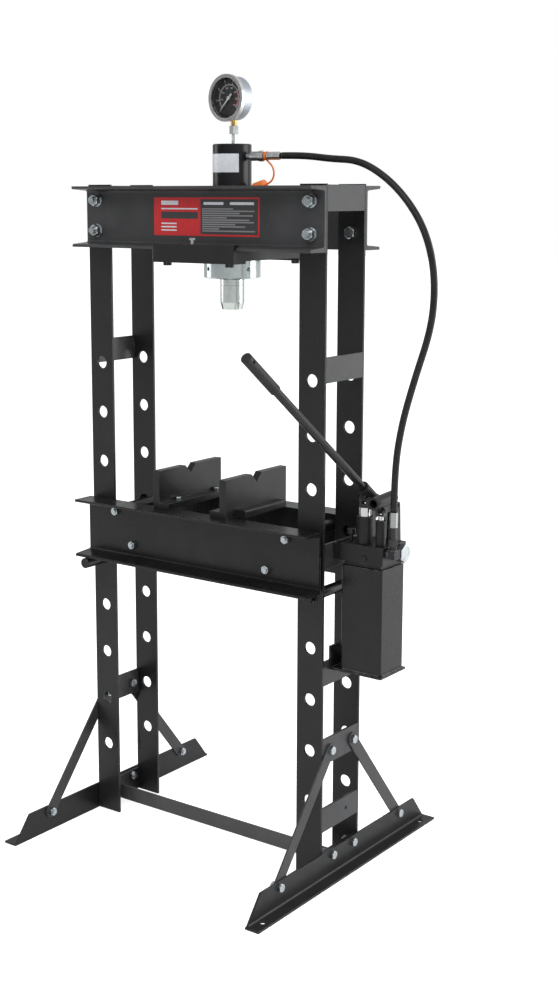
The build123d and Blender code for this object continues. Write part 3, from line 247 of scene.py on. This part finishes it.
class Look(Nodes):
    """One material and its shader nodes."""

    def __init__(self, name):
        self.material = bpy.data.materials.new(name)
        self.material.use_nodes = True
        super().__init__(self.material.node_tree)
        self.shader = self.tree.nodes["Principled BSDF"]
        self.place = self.add("ShaderNodeTexCoord").outputs["Object"]

    def set(self, **values):
        for name, value in values.items():
            self.join(value, self.shader.inputs[name.replace("_", " ")])

    def noise(self, scale, detail, rough=0.55, stretch=(1, 1, 1)):
        mapped = self.add("ShaderNodeMapping", {"Vector": self.place, "Scale": stretch})
        inputs = {"Vector": mapped.outputs[0], "Scale": scale, "Detail": detail, "Roughness": rough}
        return self.add("ShaderNodeTexNoise", inputs).outputs[0]

    def rounded(self, radius):
        """A normal that is rounded at the edges."""
        return self.add("ShaderNodeBevel", {"Radius": radius}, samples=EDGE_SAMPLES).outputs[0]

    def edges(self, rounded):
        """A mask that is 1 where the rounded normal leaves the true one."""
        true_normal = self.add("ShaderNodeNewGeometry").outputs["True Normal"]
        dot = self.add("ShaderNodeVectorMath", {0: rounded, 1: true_normal}, operation="DOT_PRODUCT")
        return self.range(dot.outputs["Value"], EDGE_FROM, EDGE_FULL)

    def bump(self, height, distance, strength, normal=None):
        inputs = {"Height": height, "Distance": distance, "Strength": strength}
        if normal:
            inputs["Normal"] = normal
        return self.add("ShaderNodeBump", inputs).outputs[0]


def grey(value):
    return (value, value, value, 1)


def opaque(colour, factor=1.0):
    """A colour with its alpha, made lighter or darker by a factor."""
    return (*(factor * part for part in colour), 1)


def paint(name, colour, rough, edge, edge_wear_and_highlight, peel=0.35):
    """Sprayed enamel: orange peel, uneven gloss, faint smears, and lighter edges that are partly worn thin
    and partly a painted edge highlight.
    """
    look = Look(name)
    rounded = look.rounded(PAINT_EDGE)
    clouds = look.range(look.noise(scale=7, detail=4), 0.35, 0.65)
    specks = look.range(look.noise(scale=420, detail=2), 0.70, 0.76)
    patches = look.range(look.noise(scale=60, detail=4), 0.45, 0.62)
    coat = look.mix(clouds, opaque(colour), opaque(colour, 1.45))
    coat = look.mix(look.math("MULTIPLY", specks, 0.35), coat, grey(0.16))
    # Edges lightened towards the edge grey: partly worn paint, partly a painted edge highlight.
    worn_and_highlit_edges = look.math("MULTIPLY", look.edges(rounded), patches)
    coat = look.mix(look.math("MULTIPLY", worn_and_highlit_edges, edge_wear_and_highlight), coat, grey(edge))
    smears = look.noise(scale=22, detail=5, rough=0.65, stretch=(1, 1, 0.35))
    gloss = look.range(smears, 0.3, 0.7, rough - 0.07, rough + 0.09)
    swell = look.bump(look.noise(scale=170, detail=2), 0.00025, peel, rounded)
    normal = look.bump(look.noise(scale=950, detail=2), 0.00004, peel, swell)
    look.set(Base_Color=coat, Roughness=gloss, Normal=normal, Specular_IOR_Level=PAINT_SPECULAR)
    return look.material


def metal(name, colour, rough, spread, lines=None, depth=0.00003, mottle=0.12, edge=METAL_EDGE):
    """Bare or plated metal; lines is a stretch that draws tool marks along two axes."""
    look = Look(name)
    rounded = look.rounded(edge)
    patches = look.range(look.noise(scale=90, detail=4, rough=0.6), 0.3, 0.7)
    tone = look.mix(patches, opaque(colour, 1 - 2.2 * mottle), opaque(colour))
    # Edges lightened towards pale grey: a painted edge highlight.
    tone = look.mix(look.math("MULTIPLY", look.edges(rounded), 0.4), tone, grey(0.85))
    smears = look.noise(scale=35, detail=5, rough=0.65)
    gloss = look.range(smears, 0.3, 0.7, rough - spread / 2, rough + spread)
    if lines:
        marks = look.noise(scale=1, detail=4, rough=0.7, stretch=lines)
    else:
        marks = look.noise(scale=600, detail=2)
    normal = look.bump(marks, depth, 0.6, rounded)
    look.set(Base_Color=tone, Roughness=gloss, Normal=normal, Metallic=1.0)
    return look.material


def soft(name, colour, rough, grain, depth, blotch=0.25):
    """Rubber or moulded plastic."""
    look = Look(name)
    dusty = (*(min(1.0, part * (1 + blotch) + 0.006) for part in colour), 1)
    clouds = look.range(look.noise(scale=30, detail=5, rough=0.6), 0.35, 0.65)
    tone = look.mix(clouds, opaque(colour), dusty)
    gloss = look.range(look.noise(scale=55, detail=3), 0.3, 0.7, rough - 0.06, rough + 0.08)
    normal = look.bump(look.noise(scale=grain, detail=2), depth, 0.5, look.rounded(SOFT_EDGE))
    look.set(Base_Color=tone, Roughness=gloss, Normal=normal, Specular_IOR_Level=PAINT_SPECULAR)
    return look.material


def printed(name, colour, rough=0.32):
    """A printed film: nearly even, with a faint ink mottle."""
    look = Look(name)
    mottle = look.range(look.noise(scale=160, detail=3), 0.3, 0.7)
    tone = look.mix(mottle, opaque(colour, 0.86), opaque(colour))
    normal = look.bump(look.noise(scale=500, detail=2), 0.00002, 0.4)
    look.set(Base_Color=tone, Roughness=rough, Normal=normal)
    return look.material


def two_finish(name, split, upper, lower):
    """One turned piece with one finish above a height and another below it."""
    look = Look(name)
    rounded = look.rounded(SOFT_EDGE)
    height = look.add("ShaderNodeSeparateXYZ", {"Vector": look.place}).outputs["Z"]
    above = look.math("GREATER_THAN", height, split)
    tone = look.mix(above, opaque(lower["colour"]), opaque(upper["colour"]))
    # Edges pulled towards mid grey, which lightens the blacked part: a painted edge highlight.
    tone = look.mix(look.math("MULTIPLY", look.edges(rounded), 0.3), tone, grey(0.4))
    metallic = look.range(above, 0, 1, lower["metallic"], upper["metallic"])
    rough = look.range(above, 0, 1, lower["rough"], upper["rough"])
    wear = look.range(look.noise(scale=80, detail=4), 0.3, 0.7, 0.8, 1.1)
    gloss = look.math("MULTIPLY", wear, rough)
    marks = look.noise(scale=1, detail=4, rough=0.7, stretch=FINE_TURNED)
    normal = look.bump(marks, 0.00001, 0.5, rounded)
    look.set(Base_Color=tone, Metallic=metallic, Roughness=gloss, Normal=normal)
    return look.material


def clear_glass():
    look = Look("gauge_glass")
    look.set(Base_Color=grey(0.02), Roughness=0.03, IOR=1.45, Alpha=0.10)
    look.material.blend_method = "BLEND"
    return look.material


# Paints
FRAME_PAINT = paint("frame_enamel", (0.0110, 0.0110, 0.0116), rough=0.33, edge=0.14, edge_wear_and_highlight=0.7)
# The head beam's enamel is the frame enamel made lighter: a painted sheen.
HEAD_SHEEN_PAINT = paint("head_enamel_painted_sheen", (0.0380, 0.0380, 0.0395), rough=0.33, edge=0.16, edge_wear_and_highlight=0.7)
TIE_PAINT = paint("tie_enamel", (0.065, 0.065, 0.065), rough=0.38, edge=0.20, edge_wear_and_highlight=0.6)
# The tank's weld beads are painted lighter than the pump enamel: a painted highlight along the seams.
WELD_HIGHLIGHT_PAINT = paint("weld_enamel_painted_highlight", (0.045, 0.045, 0.046), rough=0.35, edge=0.22, edge_wear_and_highlight=0.8, peel=0.8)
BED_PAINT = paint("bed_enamel", (0.0085, 0.0083, 0.0080), rough=0.27, edge=0.16, edge_wear_and_highlight=0.6)
# Strongly lightened edges on the pump: wear, and a painted highlight along the tank's top rim.
PUMP_PAINT = paint("pump_enamel", (0.0085, 0.0085, 0.0085), rough=0.27, edge=0.34, edge_wear_and_highlight=0.9, peel=0.4)
CYLINDER_PAINT = paint("cylinder_enamel", (0.007, 0.007, 0.008), rough=0.17, edge=0.14, edge_wear_and_highlight=0.5, peel=0.2)
CAST_PAINT = paint("cast_enamel", (0.0085, 0.0085, 0.0090), rough=0.38, edge=0.18, edge_wear_and_highlight=0.7, peel=0.9)

# Metals
ZINC = metal("bright_zinc", (0.50, 0.54, 0.56), rough=0.26, spread=0.12)
LIGHT_ZINC = metal("light_zinc", (0.70, 0.72, 0.71), rough=0.30, spread=0.12)
TURNED_ZINC = metal("turned_zinc", (0.52, 0.57, 0.57), 0.17, 0.08, TURNED, 0.00002, mottle=0.05)
RAM_STEEL = metal("ground_steel", (0.56, 0.60, 0.57), 0.10, 0.06, GROUND, 0.00001, mottle=0.06)
BEZEL_STEEL = metal("bezel_steel", (0.62, 0.62, 0.61), 0.20, 0.04, DRAWN, 0.000001, 0.02, STEEL_EDGE)
CASE_STEEL = metal("case_steel", (0.41, 0.45, 0.49), 0.45, 0.05, DRAWN, 0.000001, 0.02, STEEL_EDGE)
BRASS = metal("stem_brass", (0.62, 0.42, 0.13), 0.25, 0.1, TURNED, 0.00002, mottle=0.1)
DARK_STEEL = metal("dark_steel", (0.045, 0.045, 0.048), rough=0.36, spread=0.12)
SPRING_STEEL = metal("spring_steel", (0.20, 0.20, 0.21), rough=0.35, spread=0.1)
BLACKED = {"colour": (0.013, 0.013, 0.014), "metallic": 0.0, "rough": 0.42}
CHROMED = {"colour": (0.56, 0.56, 0.55), "metallic": 1.0, "rough": 0.14}
PLATED = {"colour": (0.34, 0.35, 0.35), "metallic": 1.0, "rough": 0.32}
FAST_CHROME = two_finish("fast_plunger_chrome", FAST_CHROME_TOP, BLACKED, CHROMED)
SLOW_CHROME = two_finish("slow_plunger_chrome", SLOW_CHROME_TOP, BLACKED, CHROMED)
FERRULE = two_finish("hose_foot", FERRULE_FROM, PLATED, BLACKED)

# Rubber, plastic, print and glass
HOSE_RUBBER = soft("hose_rubber", (0.006, 0.006, 0.006), rough=0.42, grain=500, depth=0.00005)
GRIP_RUBBER = soft("grip_rubber", (0.011, 0.011, 0.011), rough=0.46, grain=800, depth=0.00008)
BLACK_PLASTIC = soft("black_plastic", (0.010, 0.010, 0.010), rough=0.30, grain=900, depth=0.00003)
ORANGE = soft("orange_plastic", (0.80, 0.19, 0.035), rough=0.38, grain=400, depth=0.00005, blotch=0.12)
DIAL_BLACK = printed("dial_black", (0.010, 0.010, 0.011), rough=0.5)
PRINT_WHITE = printed("print_white", (0.72, 0.72, 0.70), rough=0.5)
PRINT_RED = printed("print_red", (0.60, 0.015, 0.020))
PRINT_GREY = printed("print_grey", (0.230, 0.230, 0.235))
PRINT_DARK = printed("print_dark", (0.035, 0.035, 0.037))
LABEL_WHITE = printed("label_white", (0.74, 0.76, 0.80))
GLASS = clear_glass()

LOOKS = {
    FRAME_PAINT: (
        "post_front_left",
        "post_front_right",
        "post_rear_left",
        "post_rear_right",
        "foot_plates",
        "foot_left",
        "foot_right",
        "carriage_plate",
        "carriage_rails",
        "v_block_left",
        "v_block_right",
    ),
    HEAD_SHEEN_PAINT: ("head_channel_front", "head_channel_rear", "side_plates", "brace_plates", "braces"),
    TIE_PAINT: ("floor_tie_bar",),
    BED_PAINT: ("bed_channel_front", "bed_channel_rear", "bed_spacers", "pin_left", "pin_right"),
    PUMP_PAINT: ("pump_tank", "pump_brackets", "handle_tube"),
    CAST_PAINT: ("pump_block", "pump_barrels", "fast_lever", "slow_lever"),
    CYLINDER_PAINT: ("cylinder",),
    ZINC: (
        "head_bolts",
        "head_nuts",
        "frame_bolts",
        "frame_nuts",
        "bed_bolts",
        "bed_nuts",
        "clamp_screw",
        "release_knob",
    ),
    LIGHT_ZINC: ("gauge_adapter", "coupler", "hose_end_top"),
    TURNED_ZINC: ("ring_nut",),
    RAM_STEEL: ("ram",),
    FAST_CHROME: ("fast_plunger",),
    SLOW_CHROME: ("slow_plunger",),
    FERRULE: ("hose_end_bottom",),
    BEZEL_STEEL: ("gauge_bezel",),
    CASE_STEEL: ("gauge_case",),
    BRASS: ("gauge_socket",),
    DARK_STEEL: ("carriage_bolts", "pump_fitting"),
    SPRING_STEEL: ("return_spring",),
    GRIP_RUBBER: ("handle_grip", "piston_seal"),
    BLACK_PLASTIC: ("filler_cap",),
    ORANGE: ("dust_cap",),
    DIAL_BLACK: ("gauge_dial",),
    PRINT_WHITE: ("gauge_needle",),
    GLASS: ("gauge_lens",),
}
for material, names in LOOKS.items():
    for name in names:
        slots = nodes[name].data.materials
        slots.clear()
        slots.append(material)


# Pieces made here
def show(name, mesh, material, body):
    """An object for a mesh, riding on a body where one is named."""
    mesh.materials.append(material)
    made = bpy.data.objects.new(name, mesh)
    bpy.context.collection.objects.link(made)
    if body:
        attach(made, body)
    return made


def piece(name, verts, faces, material, body, smooth=False):
    """A mesh object in place, its faces all turned outward."""
    mesh = bpy.data.meshes.new(name)
    mesh.from_pydata([tuple(vert) for vert in verts], [], faces)
    made = bmesh.new()
    made.from_mesh(mesh)
    bmesh.ops.recalc_face_normals(made, faces=made.faces)
    made.to_mesh(mesh)
    made.free()
    if smooth:
        mesh.polygons.foreach_set("use_smooth", [True] * len(mesh.polygons))
    return show(name, mesh, material, body)


def ring_faces(rings, sides):
    """Faces of a closed form made of rings of vertices, with its two ends."""
    faces = []
    for ring in range(rings - 1):
        for side in range(sides):
            first = ring * sides + side
            second = ring * sides + (side + 1) % sides
            faces.append((first, second, second + sides, first + sides))
    last = (rings - 1) * sides
    faces.append(tuple(range(sides)))
    faces.append(tuple(range(last, last + sides)))
    return faces


def ring(centre, radius, across, other, sides):
    """Vertices round a centre, in the plane of two directions."""
    verts = []
    for side in range(sides):
        angle = 2 * math.pi * side / sides
        verts.append(centre + radius * (math.cos(angle) * across + math.sin(angle) * other))
    return verts


def tube_mesh(points, radii, sides):
    """Rings of vertices that follow points without twisting, and their faces."""
    verts = []
    across = None
    for index, (point, radius) in enumerate(zip(points, radii)):
        before = points[max(index - 1, 0)]
        after = points[min(index + 1, len(points) - 1)]
        along = (after - before).normalized()
        if across is None:
            across = along.orthogonal().normalized()
        across = (across - along * across.dot(along)).normalized()
        verts += ring(point, radius, across, along.cross(across), sides)
    return verts, ring_faces(len(points), sides)


# Hose
def spline_points(route):
    """Points read from the smooth curve that has the route's points as its control points."""
    data = bpy.data.curves.new("route", "CURVE")
    data.dimensions = "3D"
    spline = data.splines.new("NURBS")
    spline.points.add(len(route) - 1)
    for point, place in zip(spline.points, route):
        point.co = (*place, 1)
    spline.order_u = 3
    spline.use_endpoint_u = True
    spline.resolution_u = HOSE_RESOLUTION
    holder = bpy.data.objects.new("route", data)
    line = bpy.data.meshes.new_from_object(holder)
    points = [vert.co.copy() for vert in line.vertices]
    bpy.data.objects.remove(holder)
    bpy.data.curves.remove(data)
    bpy.data.meshes.remove(line)
    return points


def hose():
    """The pressure hose, a tube curved along its route between the frame and the work head."""
    points = spline_points(HOSE_ROUTE)
    verts, faces = tube_mesh(points, [HOSE_DIAMETER / 2] * len(points), HOSE_SIDES)
    made = piece("pressure_hose", verts, faces, HOSE_RUBBER, None, smooth=True)
    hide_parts("hose")
    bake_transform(made)


hose()

# Gauge print
gauge_x = Vector((math.cos(GAUGE_TURN), -math.sin(GAUGE_TURN), 0))
gauge_z = Vector((-math.sin(GAUGE_TURN), -math.cos(GAUGE_TURN), 0))


def on_dial(x, y):
    return GAUGE_AT + gauge_x * x + UP * y + gauge_z * PRINT_Z


def scale_angle(value):
    """Radians from straight up, clockwise."""
    return math.radians(-SCALE_SWEEP / 2 + SCALE_SWEEP * value / SCALE_TOP)


def dial_arc(name, low, high, radii, material):
    """A band that follows the scale from one value to another."""
    steps = int((high - low) / SCALE_TOP * ARC_STEPS)
    verts = []
    for step in range(steps + 1):
        angle = scale_angle(low + (high - low) * step / steps)
        verts += [on_dial(radius * math.sin(angle), radius * math.cos(angle)) for radius in radii]
    faces = [(2 * i, 2 * i + 1, 2 * i + 3, 2 * i + 2) for i in range(steps)]
    piece(name, verts, faces, material, "work_head")


def dial_ticks():
    """Long ticks at the numbers, middle ones half-way and short ones between."""
    verts = []
    faces = []
    for value in range(0, SCALE_TOP + 1, SCALE_STEP // TICKS_PER_STEP):
        if value % SCALE_STEP == 0:
            reach, half = LONG_TICK
        elif value % (SCALE_STEP // 2) == 0:
            reach, half = MIDDLE_TICK
        else:
            reach, half = SHORT_TICK
        angle = scale_angle(value)
        out = Vector((math.sin(angle), math.cos(angle)))
        side = Vector((out.y, -out.x))
        for along, sign in ((0, -1), (0, 1), (reach, 1), (reach, -1)):
            place = out * (SCALE_RADIUS + along) + side * half * sign
            verts.append(on_dial(place.x, place.y))
        first = len(verts) - 4
        faces.append((first, first + 1, first + 2, first + 3))
    piece("dial_ticks", verts, faces, PRINT_WHITE, "work_head")


def dial_number(value, radius, size, divisor):
    """One plain number, upright, with its middle on the scale's radius."""
    text = value // divisor
    data = bpy.data.curves.new(f"number_{value}_{text}", "FONT")
    data.body = str(text)
    data.size = size
    data.align_x = "CENTER"
    data.align_y = "CENTER"
    data.resolution_u = 3
    shape = bpy.data.objects.new(data.name, data)
    mesh = bpy.data.meshes.new_from_object(shape)
    bpy.data.objects.remove(shape)
    angle = scale_angle(value)
    centre = on_dial(radius * math.sin(angle), radius * math.cos(angle))
    turn = Matrix((gauge_x, UP, gauge_z)).transposed().to_4x4()
    mesh.transform(Matrix.Translation(centre) @ turn)
    show(f"dial_number_{value}_{text}", mesh, PRINT_WHITE, "work_head")


dial_arc("dial_scale", 0, SCALE_TOP, SCALE_LINE, PRINT_WHITE)
dial_arc("dial_red_zone", RED_FROM, SCALE_TOP, RED_LINE, PRINT_RED)
dial_ticks()
for value in range(0, SCALE_TOP + 1, SCALE_STEP):
    for row in NUMBER_ROWS:
        dial_number(value, *row)


# Labels
def inset(limits, amount):
    return (limits[0] + amount, limits[1] - amount)


def web_panel(name, x, z, lift, material):
    """A flat panel just off the front web of the head beam."""
    y = WEB_FRONT - lift
    verts = [(x[0], y, z[0]), (x[1], y, z[0]), (x[1], y, z[1]), (x[0], y, z[1])]
    piece(name, verts, [(0, 1, 2, 3)], material, "frame")


def head_label():
    """A red plate with a dark field of fine rules; blocks of plain colour stand on both."""
    web_panel("head_label", LABEL_X, LABEL_Z, LABEL_LIFT, PRINT_RED)
    field_x = (LABEL_SPLIT_X, LABEL_X[1] - LABEL_BORDER)
    field_z = inset(LABEL_Z, LABEL_BORDER)
    web_panel("head_label_field", field_x, field_z, FIELD_LIFT, PRINT_DARK)

    left, right = inset(field_x, ROW_MARGIN)
    table_z = (field_z[0] + TABLE_FOOT, field_z[1] - TABLE_HEAD)
    pitch = (table_z[1] - table_z[0]) / len(ROW_REACHES)
    for row, share in enumerate(ROW_REACHES):
        low = table_z[0] + row * pitch
        row_x = (left, left + share * (right - left))
        row_z = (low, low + ROW_HEIGHT * pitch)
        web_panel(f"head_label_row_{row}", row_x, row_z, ROW_LIFT, PRINT_GREY)

    heading_x = tuple(left + offset for offset in HEADING_X)
    mark_x = tuple(right + offset for offset in MARK_X)
    heading_z = tuple(field_z[1] - drop for drop in HEADING_DROP)
    web_panel("head_label_heading", heading_x, heading_z, ROW_LIFT, LABEL_WHITE)
    web_panel("head_label_mark", mark_x, heading_z, ROW_LIFT, LABEL_WHITE)

    block_x = (LABEL_X[0] + BLOCK_MARGIN[0], LABEL_SPLIT_X - BLOCK_MARGIN[1])
    badge_x = (block_x[0], block_x[0] + BADGE_WIDTH)
    note_x = (block_x[0], block_x[0] + NOTE_WIDTH)
    web_panel("head_label_bar", block_x, BAR_Z, FIELD_LIFT, PRINT_DARK)
    web_panel("head_label_line", block_x, LINE_Z, FIELD_LIFT, LABEL_WHITE)
    web_panel("head_label_badge", badge_x, BADGE_Z, FIELD_LIFT, LABEL_WHITE)
    for row in range(NOTE_COUNT):
        low = NOTE_FIRST_Z + NOTE_PITCH * row
        web_panel(f"head_label_note_{row}", note_x, (low, low + NOTE_HEIGHT), FIELD_LIFT, LABEL_WHITE)


def cylinder_label():
    """A plain white label wrapped round the cylinder."""
    start, end = CYLINDER_LABEL_TURN
    radius = CYLINDER_RADIUS + LABEL_LIFT
    verts = []
    for step in range(CYLINDER_LABEL_STEPS + 1):
        angle = math.radians(start + (end - start) * step / CYLINDER_LABEL_STEPS)
        x = CYLINDER_X + radius * math.cos(angle)
        y = radius * math.sin(angle)
        verts += [(x, y, z) for z in CYLINDER_LABEL_Z]
    faces = [(2 * i, 2 * i + 2, 2 * i + 3, 2 * i + 1) for i in range(CYLINDER_LABEL_STEPS)]
    piece("cylinder_label", verts, faces, LABEL_WHITE, "work_head", smooth=True)


head_label()
cylinder_label()


# Plug, screws and weld beads
def screw_head(name, at, axis, size, material, body):
    """A hexagon head with a chamfered top."""
    flats, height = size
    sides = 6
    corner = flats / math.sqrt(3)
    profile = ((corner, 0), (corner, CHAMFER_FROM * height), (CHAMFER_TOP * corner, height))
    axis = Vector(axis)
    across = axis.orthogonal().normalized()
    verts = []
    for radius, level in profile:
        verts += ring(Vector(at) + axis * level, radius, across, axis.cross(across), sides)
    piece(name, verts, ring_faces(len(profile), sides), material, body)


def weld(name, ends, radius, material):
    """A bead with the ripples that the arc leaves."""
    start, end = (Vector(place) for place in ends)
    steps = int((end - start).length / (RIPPLE / RINGS_PER_RIPPLE))
    points = [start + (end - start) * step / steps for step in range(steps + 1)]
    radii = []
    for index in range(steps + 1):
        wave = RIPPLE_DEPTH * math.cos(2 * math.pi * index / RINGS_PER_RIPPLE)
        drift = sum(depth * math.sin(index * rate) for rate, depth in BEAD_DRIFTS)
        taper = min(1.0, BEAD_TIP + BEAD_TAPER * min(index, steps - index))
        radii.append(radius * (1 + wave + drift) * taper)
    verts, faces = tube_mesh(points, radii, BEAD_SIDES)
    piece(name, verts, faces, material, "frame", smooth=True)


def tank_welds():
    front = [(x, TANK_Y[0], TANK_FOOT) for x in inset(TANK_X, TANK_BEAD_END)]
    right = [(TANK_X[1], y, TANK_FOOT) for y in inset(TANK_Y, TANK_BEAD_END)]
    weld("tank_weld_front", front, TANK_BEAD, WELD_HIGHLIGHT_PAINT)
    weld("tank_weld_right", right, TANK_BEAD, WELD_HIGHLIGHT_PAINT)


def plate_welds(hand, x):
    """Upright beads at the front and the rear of the plates on one side of the press."""
    for bottom in PLATE_BOTTOMS[hand]:
        bead_z = inset((bottom, bottom + PLATE_HEIGHT), PLATE_BEAD_END)
        for way, y in (("front", -UPRIGHT_IN), ("rear", UPRIGHT_IN)):
            name = f"plate_weld_{hand}_{round(bottom * 1000)}_{way}"
            weld(name, [(x, y, z) for z in bead_z], PLATE_BEAD, FRAME_PAINT)


screw_head("pump_plug", PLUG_AT, (0, -1, 0), PLUG_SIZE, CAST_PAINT, "frame")
for index, place in enumerate(V_SCREWS):
    screw_head(f"v_block_screw_{index}", place, (0, 0, 1), V_SCREW_SIZE, ZINC, "bed")
tank_welds()
plate_welds("right", PLATE_IN)
plate_welds("left", -PLATE_IN)


# Floor, light and camera
def floor():
    """A white floor that glows a little to the camera and in mirrors."""
    half = FLOOR_HALF
    verts = [(-half, -half, 0), (half, -half, 0), (half, half, 0), (-half, half, 0)]
    mesh = bpy.data.meshes.new("floor")
    mesh.from_pydata(verts, [], [(0, 1, 2, 3)])
    ground = bpy.data.objects.new("floor", mesh)
    bpy.context.collection.objects.link(ground)
    look = Look("studio_floor")
    clouds = look.range(look.noise(scale=3, detail=3), 0.3, 0.7)
    ways = look.add("ShaderNodeLightPath").outputs
    mirrored = look.math("MAXIMUM", ways["Is Glossy Ray"], ways["Is Transmission Ray"])
    direct_glow = look.math("MULTIPLY", ways["Is Camera Ray"], FLOOR_GLOW)
    mirrored_glow = look.math("MULTIPLY", mirrored, FLOOR_GLOW_MIRRORED)
    look.set(Base_Color=look.mix(clouds, grey(0.84), grey(0.88)), Roughness=0.75)
    look.set(Emission_Color=grey(1.0), Emission_Strength=look.math("ADD", direct_glow, mirrored_glow))
    mesh.materials.append(look.material)


def world():
    """White to the camera and through glass; a sloping studio light to all else."""
    made = bpy.data.worlds.new("studio")
    bpy.context.scene.world = made
    made.use_nodes = True
    made.node_tree.nodes.clear()
    sky = Nodes(made.node_tree)
    way = sky.add("ShaderNodeTexCoord").outputs["Generated"]
    slope = sky.add("ShaderNodeVectorMath", {0: way, 1: SKY_SLOPE}, operation="DOT_PRODUCT")
    level = sky.math("ADD", slope.outputs["Value"], SKY_MEAN)
    studio = sky.add("ShaderNodeBackground", {"Color": SKY_TINT, "Strength": level})
    white = sky.add("ShaderNodeBackground", {"Color": grey(1.0), "Strength": 1.0})
    ways = sky.add("ShaderNodeLightPath").outputs
    seen = sky.math("MAXIMUM", ways["Is Camera Ray"], ways["Is Transmission Ray"])
    mixed = sky.add("ShaderNodeMixShader", {0: seen, 1: studio.outputs[0], 2: white.outputs[0]})
    sky.add("ShaderNodeOutputWorld", {"Surface": mixed.outputs[0]})


def lamp(name, place, aim, size, watts):
    data = bpy.data.lights.new(name, "AREA")
    data.shape = "RECTANGLE"
    data.size, data.size_y = size
    data.energy = watts
    made = bpy.data.objects.new(name, data)
    made.location = place
    made.rotation_mode = "QUATERNION"
    made.rotation_quaternion = (Vector(aim) - Vector(place)).to_track_quat("-Z", "Y")
    bpy.context.collection.objects.link(made)


def camera():
    data = bpy.data.cameras.new("camera")
    data.lens = CAMERA_LENS
    data.shift_x, data.shift_y = CAMERA_SHIFT
    data.clip_end = CAMERA_REACH
    made = bpy.data.objects.new("camera", data)
    made.location = CAMERA_AT
    made.rotation_euler = (math.radians(90 - CAMERA_DOWN), 0, math.radians(CAMERA_YAW))
    bpy.context.collection.objects.link(made)
    bpy.context.scene.camera = made


floor()
world()
for name, settings in LAMPS.items():
    lamp(name, *settings)
camera()

scene = bpy.context.scene
scene.view_settings.view_transform = "Standard"
